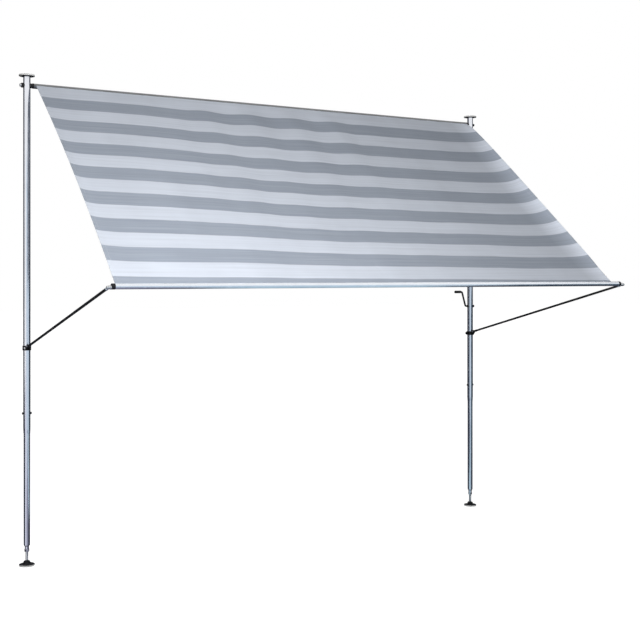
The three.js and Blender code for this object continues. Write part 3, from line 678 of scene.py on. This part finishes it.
def arm_eye(side, end):
    """A flat eye that runs into a round shoulder and a plug in the arm tube."""
    place = along_arm(side)
    if end == "upper":
        place = place @ Matrix.Translation((0, 0, ARM_LENGTH)) @ Matrix.Rotation(math.pi, 4, "X")
    outline = circle(0, 0, EYE_R, 45, -225, 30, full=False)
    outline += [(-5.4, 15), (-5.4, 26), (5.4, 26), (5.4, 15)]
    name = f"eye_{end}_{side}"
    hole = circle(0, 0, PIN_R + GAP, steps=32)
    tongue = bevel(prism(name, outline, [hole], place @ YZ, -EYE_HALF, EYE_HALF), 0.6)
    shoulder = [(0, 19.4), (5, 19.4), (7.5, 22), (7.5, 33.2), (7, 33.7), (0, 33.7)]
    plug = solid(ARM_R - 1.3 - GAP, 30, 60)
    parts = [
        turned("part", run, place.translation, place.to_3x3(), 48, 0.5) for run in (shoulder, plug)
    ]
    unite(tongue, *parts)
    return stand_for(smooth(tongue, 32), f"arm_{end}_eye_{side}")


# Grooved extrusions
WELT_R = 2.2
GROOVE_R = WELT_R + 0.5
GROOVE_WALL = 1.0
NECK_HALF = 1.0
LIP = 0.5
LINE_DEPTH = 0.014


def grooved(name, radius, heading, low, high, at, slots=0):
    """A tube along X with a keyhole groove towards a heading, and small outer lines."""
    depth = radius - GROOVE_R - GROOVE_WALL
    turn = math.degrees(math.atan2(heading[1], heading[0]))
    neck = math.degrees(math.asin((NECK_HALF + 0.25) / radius))
    inner_neck = math.degrees(math.asin(NECK_HALF / GROOVE_R))
    round_out = circle(0, 0, radius, neck, 360 - neck, 120, full=False)
    outline = []
    for i, (x, y) in enumerate(round_out):
        reach = math.hypot(x, y) * (1 - LINE_DEPTH * groove_line(i, len(round_out), slots))
        angle = math.atan2(y, x)
        outline.append((reach * math.cos(angle), reach * math.sin(angle)))
    # one lip of the neck, round the groove, and the other lip
    keyhole = circle(depth, 0, GROOVE_R, 360 - inner_neck, inner_neck, 28, full=False)
    outline += [(radius - LIP, -NECK_HALF), *keyhole, (radius - LIP, NECK_HALF)]
    bore = radius - WALL
    bead = GROOVE_R + GROOVE_WALL
    # the bore is a circle with a bite where the groove's wall stands in it
    cosine = (bore**2 + depth**2 - bead**2) / (2 * bore * depth)
    meet = math.degrees(math.acos(max(-1, min(1, cosine))))
    px, py = bore * math.cos(math.radians(meet)), bore * math.sin(math.radians(meet))
    bite = math.degrees(math.atan2(py, px - depth))
    cavity = circle(0, 0, bore, meet, 360 - meet, 64, full=False)
    cavity += circle(depth, 0, bead, 360 - bite, bite, 16, full=False)[1:-1]
    cavity.reverse()
    place = Matrix.Translation(at) @ YZ @ Matrix.Rotation(math.radians(turn), 4, "Z")
    return prism(name, outline, [cavity], place, low, high)


def groove_line(i, count, slots):
    """1 on the points of evenly spread shallow lines round an extrusion."""
    return 1 if slots and (i * slots // count) != ((i + 1) * slots // count) else 0


def to_roller():
    """Direction from the drop bar to where the cloth leaves the roller, in the YZ plane."""
    return Vector((-ROLLER_R - 3 - BAR.y, ROLLER_Z - BAR.z)).normalized()


ROLLER_FACE = 36.0
PLUG_FLANGE = 5.0


def roller():
    low, high = (box_mm("roller_tube")[k].x for k in (0, 1))
    tube = grooved("roller", ROLLER_R, (-1, 0), low, high, (0, 0, ROLLER_Z), slots=7)
    stand_for(smooth(tube, 30), "roller_tube")
    for side, sign, bore in (("left", 1, 5.35), ("right", -1, SHAFT_R + GAP)):
        face = ROLLER_FACE - GAP
        profile = [
            (bore, face - PLUG_FLANGE),
            (ROLLER_R + 0.5, face - PLUG_FLANGE),
            (ROLLER_R + 0.5, face),
            (ROLLER_R - WALL - GAP, face),
            (ROLLER_R - WALL - GAP, face + 30),
            (bore, face + 30),
        ]
        at = (POST_X[side], 0, ROLLER_Z)
        plug = turned(f"roller_end_{side}", profile, at, facing(sign), 72, 0.8, ring=True)
        stand_for(smooth(plug), f"roller_plug_{side}")


def saddle(name, node, low, high):
    block = turned(name, sleeve(13, 5.35, low, high), (0, 0, ROLLER_Z), "+X", 64, 0.8, ring=True)
    post = turned("post", solid(UPPER_R + GAP, -40, 40), (0, 0, ROLLER_Z), steps=96, soft=0)
    return stand_for(smooth(carve(block, post), 35), node)


def roller_bolt():
    profile = [(0, -38), (8, -38), (8.5, -37), (8.5, -30.4), (5, -30.4), (5, 60), (4, 61), (0, 61)]
    at = (0, 0, ROLLER_Z)
    bolt = turned("bolt_head", profile, at, "+X", 64, 0.7)
    return stand_for(smooth(hex_socket(bolt, at, -40, 1, 3.4, 7)), "roller_bolt")


def roller_shaft():
    at = (POST_X["right"], 0, ROLLER_Z)
    profile = [(0, -62), (SHAFT_R, -62), (SHAFT_R, UPPER_R + 9), (0, UPPER_R + 9)]
    return stand_for(smooth(turned("shaft", profile, at, "+X", 48, 0.8)), "roller_shaft")


def wall_bush(name, node, sign, z):
    profile = [
        (SHAFT_R + GAP, 14.5),
        (8, 14.5),
        (8, UPPER_R + GAP),
        (10, UPPER_R + GAP),
        (10, UPPER_R + 3.5),
        (SHAFT_R + GAP, UPPER_R + 3.5),
    ]
    bush = turned(name, profile, (POST_X["right"], 0, z), facing(sign), 56, 0.6, ring=True)
    return stand_for(smooth(bush), node)


# Crank
CRANK_OFFSET = 40.0
LEVER = Vector((0, 38, 96))
GRIP = 57.0
BEND_REACH = 9.0
RIDGES = 24


def crank():
    x = POST_X["right"]
    elbow = Vector((x - CRANK_OFFSET, 0, CRANK_Z))
    wrist = elbow + LEVER
    corners = [
        Vector((x + UPPER_R + 9, 0, CRANK_Z)),
        elbow,
        wrist,
        wrist + Vector((-GRIP - 4, 0, 0)),
    ]
    line = [corners[0]]
    for before, here, after in zip(corners, corners[1:], corners[2:]):
        start = here + (before - here).normalized() * BEND_REACH
        end = here + (after - here).normalized() * BEND_REACH
        line += [curve(start, here, end, k / 12) for k in range(13)]
    line.append(corners[-1])
    rod = pipe("crank_handle", line, SHAFT_R, 40)
    stand_for(smooth(rod, 50), "crank_rod")
    start = -CRANK_OFFSET - 11
    end = start - GRIP + 9
    ridges = []
    for k in range(RIDGES + 1):
        run = start - 4 + (end - start + 8) * k / RIDGES
        ridges.append((8.7 + 0.35 * math.cos(k * math.pi), run))
    profile = [(SHAFT_R + GAP, start), (8.2, start), *ridges, (8.2, end), (SHAFT_R + GAP, end)]
    at = (x, LEVER.y, CRANK_Z + LEVER.z)
    grip = turned("crank_sleeve", profile, at, "+X", 64, 0.5, ring=True)
    stand_for(smooth(grip), "crank_grip")


def cap_nut(node, z):
    """A domed nut on the outer end of the shaft and of the crank's rod."""
    profile = [
        (SHAFT_R + GAP, UPPER_R + 4),
        (8.5, UPPER_R + 4),
        (8.5, UPPER_R + 11),
        *arc_dome(8.5, UPPER_R + 11, 3.5, 8),
        (0, UPPER_R + 9.35),
        (SHAFT_R + GAP, UPPER_R + 9.35),
    ]
    cap = turned(f"{node}_dome", profile, (POST_X["right"], 0, z), "+X", 56, 0.3, ring=True)
    stand_for(smooth(cap), node)


def arc_dome(radius, z, rise, steps):
    angles = [math.pi / 2 * k / steps for k in range(1, steps + 1)]
    return [(radius * math.cos(a), z + rise * math.sin(a)) for a in angles]


CHAMFER = 0.6


def pipe(name, line, radius, steps):
    """A round rod along a line of points, closed at its ends by small chamfers."""
    points, faces = [], []
    side = Vector((0, 1, 0))
    rings = []
    for i, here in enumerate(line):
        run = (line[min(i + 1, len(line) - 1)] - line[max(i - 1, 0)]).normalized()
        side = (side - run * side.dot(run)).normalized()
        rings.append((here, run, side.copy()))
    (first, before, left), (last, after, right) = rings[0], rings[-1]
    rings.insert(0, (first - before * CHAMFER, before, left))
    rings.append((last + after * CHAMFER, after, right))
    for i, (here, run, across) in enumerate(rings):
        up = run.cross(across)
        r = radius - CHAMFER if i in (0, len(rings) - 1) else radius
        for k in range(steps):
            a = 2 * math.pi * k / steps
            points.append(here + (across * math.cos(a) + up * math.sin(a)) * r)
    for i in range(len(rings) - 1):
        for k in range(steps):
            n = (k + 1) % steps
            faces.append((i * steps + k, i * steps + n, (i + 1) * steps + n, (i + 1) * steps + k))
    faces.append(tuple(range(steps)))
    faces.append(tuple(len(points) - steps + k for k in range(steps)))
    return mesh_object(name, points, faces)


# Drop bar
CAP_WIDTH = 16.0


def drop_bar():
    heading = to_roller()
    bar = grooved("front_bar", BAR_R, heading, *BAR_SPAN, (0, BAR.y, BAR.z), slots=5)
    stand_for(smooth(bar, 30), "drop_bar")
    ends = {"left": BAR_SPAN[0], "right": SPAN - BAR_SPAN[1]}
    for side, sign in (("left", 1), ("right", -1)):
        face = ends[side] - GAP
        axis = facing(sign)
        profile = [
            (0, face - CAP_WIDTH),
            (11.8, face - CAP_WIDTH),
            (BAR_R + 0.8, face - CAP_WIDTH + 1.8),
            (BAR_R + 0.8, face),
            (BAR_R - WALL - GAP, face),
            (BAR_R - WALL - GAP, face + 28),
            (0, face + 28),
        ]
        cap = turned(f"bar_end_{side}", profile, (POST_X[side], BAR.y, BAR.z), axis, 96, 0.7)
        at = (POST_X[side], BOLT.y, BOLT.z)
        bore = turned("bore", solid(3.35, 0, 100), at, axis, 48, 0)
        stand_for(smooth(carve(cap, bore), 35), f"bar_cap_{side}")
        profile = [
            (0, -9),
            (6.2, -9),
            (7, -8),
            (7, -3.6),
            (PIN_R, -3.6),
            (PIN_R, 5),
            (9, 5),
            (9, face - CAP_WIDTH - GAP),
            (3, face - CAP_WIDTH - GAP),
            (3, face + 22),
            (0, face + 22),
        ]
        bolt = turned(f"shoulder_bolt_{side}", profile, at, axis, 56, 0.5)
        hex_socket(bolt, at, sign * -10, sign, 2.9, 4)
        stand_for(smooth(bolt), f"bar_bolt_{side}")


# Cloth
CLOTH_TOP = (46.0, 2962.0)
CLOTH_FOOT = (33.0, 2927.0)
CLOTH_SAG = 38.0
CLOTH_CURL = (15.0, 34.0)
CLOTH_WAIST = 9.0
SAG_GROWS = (350.0, 1400.0)
HEM_REACH = 95.0
HEM_SAG = 0.22
CURL_REACH = (35.0, 60.0)
HEM_WIDTH = 22.0
CLOTH_HALF = 0.35
RIPPLE_PITCH, RIPPLE_HEIGHT = 290.0, 6.0
RIPPLES = (650.0, 2100.0)
HELD = 14.0
ROLLER_MOUTH = Vector((-ROLLER_R + GROOVE_WALL + GROOVE_R - WELT_R - GAP, ROLLER_Z))
BEND = Vector((-ROLLER_R - 3, ROLLER_Z))
BAR_MOUTH = Vector((BAR.y, BAR.z)) + to_roller() * (BAR_R - GROOVE_WALL - GROOVE_R + WELT_R + GAP)
RUN = (BAR_MOUTH - BEND).length
DOWN = (BAR_MOUTH - BEND).normalized()
OUT = Vector((DOWN.y, -DOWN.x))
WIDTH = CLOTH_TOP[1] - CLOTH_TOP[0]
# Crease lines on the cloth, each from one (X, down) point to another, in millimetres
CREASES = [((502, 461), (469, 1616)), ((1453, 1510), (1469, 1691))]


def smoothstep(t):
    t = min(max(t, 0.0), 1.0)
    return t * t * (3 - 2 * t)


def crease_height(x, down):
    """Thin folds left from packing, as low ridges along short lines."""
    total = 0.0
    for (x0, d0), (x1, d1) in CREASES:
        t = (down - d0) / (d1 - d0)
        if -0.1 < t < 1.1:
            off = abs(x - (x0 + (x1 - x0) * t))
            total += 1.1 * math.exp(-((off / 7) ** 2)) * smoothstep(1 - abs(2 * t - 1) ** 3)
    return total


def cloth_rise(across, down):
    """Height of the cloth over its straight line, across from 0 to 1 and down in millimetres."""
    t = min(max((down - HELD) / (RUN - 2 * HELD), 0.0), 1.0)
    belly = 4 * t * (1 - t)
    from_left = across * WIDTH
    from_right = WIDTH - from_left
    edge = min(from_left, from_right)
    x = CLOTH_TOP[0] + from_left
    grown = 0.1 + 0.9 * smoothstep((from_left - SAG_GROWS[0]) / (SAG_GROWS[1] - SAG_GROWS[0]))
    inside = grown * (HEM_SAG + (1 - HEM_SAG) * (1 - math.exp(-from_right / HEM_REACH)))
    held = smoothstep((1 - t) / 0.15)
    curl = CLOTH_CURL[0] * belly * math.exp(-from_left / CURL_REACH[0])
    lifted = CLOTH_CURL[1] * math.sqrt(belly) * (1 - 0.6 * t) * held
    curl += lifted * math.exp(-from_right / CURL_REACH[1])
    place = smoothstep((from_left - RIPPLES[0]) / 300) * smoothstep((RIPPLES[1] - from_left) / 300)
    fade = smoothstep(t / 0.08) * math.exp(-2.2 * t) * held * place
    ripple = RIPPLE_HEIGHT * fade * math.sin(from_left * 2 * math.pi / RIPPLE_PITCH)
    ends = smoothstep(t / 0.06) * smoothstep((1 - t) / 0.08) * smoothstep(0.15 + edge / 130)
    waves = noise.noise(Vector((x / 170, down / 900, 3.1))) * 2.0
    waves += noise.noise(Vector((x / 60 + down / 400, down / 330, 7.7))) * 0.7
    waves += noise.noise(Vector((x / 420, down / 420, 1.3))) * 3.0
    folds = crease_height(x, down)
    return -CLOTH_SAG * belly * inside + curl + ripple + (waves + folds) * ends


def cloth_point(across, down):
    """A point of the cloth's middle surface. down is negative in the roller's groove."""
    if down <= 0:
        at = BEND.lerp(ROLLER_MOUTH, min(-down / (BEND - ROLLER_MOUTH).length, 1))
        share = 0.0
    else:
        at = BEND + DOWN * down + OUT * cloth_rise(across, down)
        share = down / RUN
    left = CLOTH_TOP[0] + (CLOTH_FOOT[0] - CLOTH_TOP[0]) * share
    left += CLOTH_WAIST * 4 * share * (1 - share)
    right = CLOTH_TOP[1] + (CLOTH_FOOT[1] - CLOTH_TOP[1]) * share
    return Vector((left + (right - left) * across, at.x, at.y))


def cloth_columns(count):
    """Places across the cloth, with close ones at the hems."""
    hem = HEM_WIDTH / WIDTH
    edge = [0.0, 0.0006, 0.25 * hem, 0.5 * hem, 0.8 * hem, hem - 0.0003, hem + 0.0005]
    inner = [hem * 1.5 + (1 - 3 * hem) * k / count for k in range(count + 1)]
    return edge + inner + [1 - e for e in reversed(edge)]


def cloth_rows(count):
    lead = (BEND - ROLLER_MOUTH).length
    first = [-lead, -lead * 0.4, 0.0, 1.5, 4.0, 8.0, 13.0]
    return first + [19 + (RUN - 19) * k / count for k in range(count + 1)]


def cloth_sheet():
    columns = cloth_columns(250)
    rows = cloth_rows(160)
    wide, deep = len(columns), len(rows)
    grid = [[cloth_point(u, d) for u in columns] for d in rows]
    points, uvs = [], []
    for side in (1, -1):
        for j, d in enumerate(rows):
            for i, u in enumerate(columns):
                here = grid[j][i]
                run = grid[min(j + 1, deep - 1)][i] - grid[max(j - 1, 0)][i]
                across = grid[j][min(i + 1, wide - 1)] - grid[j][max(i - 1, 0)]
                out = across.cross(run).normalized()
                edge = min(u, 1 - u) * WIDTH
                layers = 1.0 + 0.9 * smoothstep((HEM_WIDTH - edge) / 1.2)
                points.append(here - out * side * CLOTH_HALF * layers)
                uvs.append((u * WIDTH * MM, d * MM))
    size = wide * deep
    low = lambda j, i: j * wide + i
    top = lambda j, i: size + j * wide + i
    faces = []
    for j in range(deep - 1):
        for i in range(wide - 1):
            faces.append((low(j, i), low(j, i + 1), low(j + 1, i + 1), low(j + 1, i)))
            faces.append((top(j, i), top(j + 1, i), top(j + 1, i + 1), top(j, i + 1)))
        faces.append((low(j, 0), low(j + 1, 0), top(j + 1, 0), top(j, 0)))
        last = wide - 1
        faces.append((low(j, last), top(j, last), top(j + 1, last), low(j + 1, last)))
    for i in range(wide - 1):
        faces.append((low(0, i), top(0, i), top(0, i + 1), low(0, i + 1)))
        last = deep - 1
        faces.append((low(last, i), low(last, i + 1), top(last, i + 1), top(last, i)))
    obj = mesh_object("awning_cloth", points, faces, merged=False, cut=uvs)
    obj.data.shade_smooth()
    return obj


# A stitch's points along, across and out of the cloth, and its faces
STITCH_POINTS = (
    (-1, 0, 0),
    (-0.55, -1, 0),
    (-0.55, 1, 0),
    (0.55, -1, 0),
    (0.55, 1, 0),
    (1, 0, 0),
    (-0.4, 0, 1),
    (0.4, 0, 1),
)
STITCH_FACES = (
    (0, 2, 6),
    (0, 6, 1),
    (1, 6, 7, 3),
    (2, 4, 7, 6),
    (3, 7, 5),
    (4, 5, 7),
    (0, 1, 3, 5, 4, 2),
)


def stitches():
    """Two rows of stitches on each hem: short raised threads, one mesh."""
    points, faces = [], []
    long_half, wide_half, lift = 1.7, 0.33, 0.32
    pitch = 5.2
    ahead, aside = 2, 0.0006
    for edge in (5.0, HEM_WIDTH - 3.0):
        for side in (0, 1):
            for k in range(int((RUN - 40) / pitch)):
                down = 20 + k * pitch
                share = edge / WIDTH
                u = share if side == 0 else 1 - share
                here = cloth_point(u, down)
                run = cloth_point(u, down + ahead) - cloth_point(u, down - ahead)
                run.normalize()
                across = cloth_point(u + aside, down) - cloth_point(u - aside, down)
                across.normalize()
                out = run.cross(across).normalized()
                if out.z < 0:
                    out.negate()
                base = here + out * (CLOTH_HALF * 1.9 - 0.08)
                first = len(points)
                for a, b, h in STITCH_POINTS:
                    along, beside = run * long_half * a, across * wide_half * b
                    points.append(base + along + beside + out * lift * h)
                faces += [tuple(first + n for n in face) for face in STITCH_FACES]
    obj = mesh_object("hem_stitches", points, faces, merged=False)
    obj.data.shade_smooth()
    return obj


STRIPE_START = 0.118
STRIPE_PITCH = 0.222
STRIPE_SKEW = 0.0072
DARK_SHARE = 0.495
EDGE_BLUR = 0.006
LIGHT_YARNS = ((0.53, 0.57, 0.645), (0.615, 0.655, 0.73))
DARK_YARNS = ((0.272, 0.305, 0.366), (0.337, 0.375, 0.437))
# Where, across the cloth in metres, the right hem fades into painted light: the curled hem painted
# lighter as if lit
HEM_PAINTED_LIGHT = (2.77, 2.9)
RIB_PITCH, LOOP_PITCH = 0.0034, 0.0026


def cloth_material():
    """Knitted shade cloth: wide stripes, fine yarn lines along them, a ribbed knit, and painted
    light that lightens the right hem.
    """
    material, tree, shader = surface("striped_cloth", Roughness=0.92)
    shader.inputs["Specular IOR Level"].default_value = 0.25
    shader.inputs["Sheen Weight"].default_value = 0.15
    place = add(tree, "ShaderNodeUVMap", uv_map="cut").outputs[0]
    parts = add(tree, "ShaderNodeSeparateXYZ", {0: place})
    across, down = parts.outputs[0], parts.outputs[1]

    def cloth_noise(scale, detail=2.0):
        spot = add(tree, "ShaderNodeMapping", {"Vector": place, "Scale": scale})
        fields = {"Vector": spot.outputs[0], "Scale": 1.0, "Detail": detail}
        return add(tree, "ShaderNodeTexNoise", fields).outputs["Fac"]

    waver = spread(tree, cloth_noise((3, 1, 1)), -0.002, 0.002)
    skew = math_node(tree, "SUBTRACT", 1.0, math_node(tree, "MULTIPLY", across, STRIPE_SKEW))
    turn = math_node(tree, "ADD", math_node(tree, "MULTIPLY", down, skew), waver)
    turn = math_node(tree, "SUBTRACT", turn, STRIPE_START + STRIPE_PITCH * (DARK_SHARE / 2 - 0.5))
    turn = math_node(tree, "DIVIDE", turn, STRIPE_PITCH)
    turn = math_node(tree, "FRACT", turn)
    off = math_node(tree, "ABSOLUTE", math_node(tree, "SUBTRACT", turn, 0.5))
    half = DARK_SHARE / 2
    dark = spread(tree, off, 1.0, 0.0, half - EDGE_BLUR, half + EDGE_BLUR)
    dark = math_node(tree, "MULTIPLY", dark, math_node(tree, "GREATER_THAN", down, 0.06))

    yarns = cloth_noise((2.2, 420, 1), 3)
    streaks = cloth_noise((1.2, 60, 1), 2)
    patches = cloth_noise((5, 1.5, 1), 2)
    light = blend_colours(tree, spread(tree, yarns, 0, 1), *LIGHT_YARNS)
    deep = blend_colours(tree, spread(tree, yarns, 0, 1), *DARK_YARNS)
    tone = blend_colours(tree, dark, light, deep)
    shade = spread(tree, streaks, 0.95, 1.04)
    shade = math_node(tree, "MULTIPLY", shade, spread(tree, patches, 0.97, 1.03))
    # Painted light: from 2.77 m across, the right hem is painted up to 1.4 times lighter, standing
    # in for light on the curled hem
    shade = math_node(tree, "MULTIPLY", shade, spread(tree, across, 1.0, 1.4, *HEM_PAINTED_LIGHT))
    mixed = add(tree, "ShaderNodeVectorMath", {0: tone}, operation="SCALE")
    tree.links.new(shade, mixed.inputs["Scale"])
    tree.links.new(mixed.outputs[0], shader.inputs["Base Color"])

    rib = math_node(tree, "SINE", math_node(tree, "MULTIPLY", down, 2 * math.pi / RIB_PITCH))
    loop = math_node(tree, "SINE", math_node(tree, "MULTIPLY", across, 2 * math.pi / LOOP_PITCH))
    knit = math_node(tree, "ADD", rib, math_node(tree, "MULTIPLY", loop, 0.55))
    bump(tree, shader, knit, 0.35, 0.0003)
    return material


MATERIALS["striped_cloth"] = cloth_material()


def awning_cloth():
    cloth = cloth_sheet()
    stand_for(cloth, "cloth")
    thread_mesh = stitches()
    thread_mesh.data.materials.append(MATERIALS["welt_pvc"])
    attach(thread_mesh, BODY_OF["cloth"])
    for obj in (cloth, thread_mesh):
        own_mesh(obj)


# Plain inner pieces keep their CAD solids
def dress_nodes(*nodes):
    for node in nodes:
        obj = frame["nodes"][node]
        obj.data.materials.clear()
        obj.data.materials.append(MATERIALS[SLOT_OF[node]])


# Studio
CAMERA_AT = (-1.404, -5.661, 1.565)
CAMERA_HEADING = 29.328
CAMERA_LENS = 58.55
CAMERA_SHIFT = (0.0101, -0.0693)


def camera():
    data = bpy.data.cameras.new("camera")
    data.lens = CAMERA_LENS
    data.sensor_width = 36
    data.shift_x, data.shift_y = CAMERA_SHIFT
    data.clip_start, data.clip_end = 0.05, 200
    obj = bpy.data.objects.new("camera", data)
    obj.location = CAMERA_AT
    obj.rotation_euler = (math.pi / 2, 0, -math.radians(CAMERA_HEADING))
    bpy.context.scene.collection.objects.link(obj)
    bpy.context.scene.camera = obj


def lamp(name, kind, at, towards, energy, size):
    """A lamp that lights the object but isn't mirrored in it. A sun's size is in degrees."""
    data = bpy.data.lights.new(name, kind)
    if kind == "SUN":
        data.angle = math.radians(size)
    else:
        data.size = size
    data.energy = energy
    obj = bpy.data.objects.new(name, data)
    obj.location = at
    obj.rotation_euler = (Vector(towards) - Vector(at)).to_track_quat("-Z", "Y").to_euler()
    obj.visible_glossy = False
    bpy.context.scene.collection.objects.link(obj)
    return obj


def seen_plainly(tree):
    """1 for the rays of the camera, of mirrors and of glass, which see the plain background."""
    path = add(tree, "ShaderNodeLightPath").outputs
    seen = math_node(tree, "MAXIMUM", path["Is Camera Ray"], path["Is Glossy Ray"])
    return math_node(tree, "MAXIMUM", seen, path["Is Transmission Ray"])


def world():
    """Pale light all round, which the camera and shiny surfaces see as white."""
    data = bpy.data.worlds.new("studio")
    data.use_nodes = True
    tree = data.node_tree
    tree.nodes.clear()
    strength = spread(tree, seen_plainly(tree), WORLD_LIGHT, 1.0, 0, 1)
    sky = add(tree, "ShaderNodeBackground", {"Color": (1, 1, 1, 1), "Strength": strength})
    out = add(tree, "ShaderNodeOutputWorld")
    tree.links.new(sky.outputs[0], out.inputs[0])
    bpy.context.scene.world = data


def empty_material(name):
    material = bpy.data.materials.new(name)
    material.use_nodes = True
    material.node_tree.nodes.clear()
    return material, material.node_tree


def floor():
    """A pale floor that glows just enough to pass into the background, and keeps shadows."""
    material, tree = empty_material("floor")
    plain = add(tree, "ShaderNodeBsdfDiffuse", {"Color": (0.86, 0.86, 0.86, 1)})
    share = math_node(tree, "MULTIPLY", seen_plainly(tree), FLOOR_GLOW)
    glow = add(tree, "ShaderNodeEmission", {"Color": (1, 1, 1, 1), "Strength": share})
    both = add(tree, "ShaderNodeAddShader", {0: plain.outputs[0], 1: glow.outputs[0]})
    out = add(tree, "ShaderNodeOutputMaterial")
    tree.links.new(both.outputs[0], out.inputs[0])
    half = 40000
    points = [(-half, -half, -0.5), (half, -half, -0.5), (half, half, -0.5), (-half, half, -0.5)]
    obj = mesh_object("floor", points, [(0, 1, 2, 3)])
    obj.data.materials.append(material)


def flag(name, line, high, colour):
    """A standing card along a line on the floor, which only mirrors see."""
    points = [(x, y, z) for z in (0, high) for x, y in line]
    count = len(line)
    faces = [(k, k + 1, count + k + 1, count + k) for k in range(count - 1)]
    card(name, points, faces, colour)


def card(name, points, faces, colour):
    material, tree = empty_material(name)
    glow = add(tree, "ShaderNodeEmission", {"Color": (*colour, 1), "Strength": 1.0})
    out = add(tree, "ShaderNodeOutputMaterial")
    tree.links.new(glow.outputs[0], out.inputs[0])
    obj = mesh_object(name, points, faces)
    obj.data.materials.append(material)
    for ray in ("camera", "diffuse", "transmission", "volume_scatter", "shadow"):
        setattr(obj, f"visible_{ray}", False)


def ground(name, outline, height, colour):
    """A card on the floor, which only mirrors see."""
    points = [(x, y, height) for x, y in outline]
    card(name, points, [tuple(range(len(outline)))], colour)


WORLD_LIGHT = 0.17
FLOOR_GLOW = 0.79

# What the posts and the bar mirror: dark behind them, pale and blue in front
DUSK = (0.045, 0.05, 0.07)
NIGHT = (0.035, 0.055, 0.075)
FAR_LINE = [(-8000, 500), (-8000, 8000), (9000, 8000), (9000, -4000)]
NEAR_LINE = [(3200, -2600), (4600, -1900), (6000, -1000)]
FRONT_LINE = [(-883, -1410), (-200, -4000), (3000, -6000), (9000, -4500)]
FLAGS = {
    "flag_far": (FAR_LINE, 7000, DUSK),
    "flag_near": (NEAR_LINE, 1450, NIGHT),
    "flag_blue": (FRONT_LINE, 2450, (0.66, 0.76, 0.86)),
    "flag_side": ([(1800, -60), (1800, -720)], 2400, NIGHT),
}
ALL_ROUND = [(-9000, -9000), (9000, -9000), (9000, 9000), (-9000, 9000)]
FRONT_LEFT_GROUND = [(0, 0), (-8650, -2480), (-8650, -8650), (-3940, -8090)]
MIDDLE_GROUND = [(0, 0), (-3940, -8090), (1200, -8090), (1200, -1850)]
BLUE_GROUND = [(3000, 0), (1200, -157), (1200, -9000), (2530, -9000)]
RIGHT_GROUND = [(2530, -9000), (2864, -2600), *NEAR_LINE, (9000, -1000), (9000, -9000)]
GROUNDS = {
    "ground_dark": (ALL_ROUND, -0.3, DUSK),
    "ground_pale": (FRONT_LEFT_GROUND, -0.2, (0.74, 0.75, 0.86)),
    "ground_mid": (MIDDLE_GROUND, -0.2, (0.28, 0.28, 0.37)),
    "ground_blue": (BLUE_GROUND, -0.2, (0.47, 0.61, 0.71)),
    "ground_right": (RIGHT_GROUND, -0.2, (0.58, 0.68, 0.77)),
}


def studio():
    camera()
    world()
    floor()
    lamp("sun", "SUN", (-2.5, -3.5, 6), (1, -0.5, 1), 0.35, 30)
    lamp("back", "SUN", (2.5, 8.0, 4.0), (1.5, 0, 1.5), 0.9, 30)
    lamp("key", "AREA", (0.15, -3.6, 2.95), (0.9, -1.0, 1.8), 98, 1.2)
    for name, (line, high, colour) in FLAGS.items():
        flag(name, line, high, colour)
    for name, (outline, height, colour) in GROUNDS.items():
        ground(name, outline, height, colour)
    view = bpy.context.scene.view_settings
    view.view_transform = "Standard"


studio()
for side in ("left", "right"):
    upper_post(side)
    lower_post(side)
    for letter in ("a", "b"):
        clamp_screw(side, letter)
    spindle(side)
    levelling_nut(side)
    foot(side)
    ceiling(side)
    collar(side)
    fork_pin(side)
    arm_tube(side)
    for end in ("lower", "upper"):
        arm_eye(side, end)
collar_screw()
collar_knob()
roller()
saddle("saddle_inner", "roller_saddle_inner", 10, ROLLER_FACE - PLUG_FLANGE - 2 * GAP)
saddle("saddle_outer", "roller_saddle_outer", -30, -10)
roller_bolt()
roller_shaft()
for name, place, z in (("shaft", "shaft_bush", ROLLER_Z), ("crank", "crank_bush", CRANK_Z)):
    wall_bush(f"{name}_flange_inner", f"{place}_inner", -1, z)
    wall_bush(f"{name}_flange_outer", f"{place}_outer", 1, z)
crank()
cap_nut("crank_nut", CRANK_Z)
cap_nut("roller_nut", ROLLER_Z)
drop_bar()
awning_cloth()
dress_nodes("guide_bush_left", "guide_bush_right", "roller_pulley", "crank_pulley")
dress_nodes("drive_cord", "roller_welt", "bar_welt")
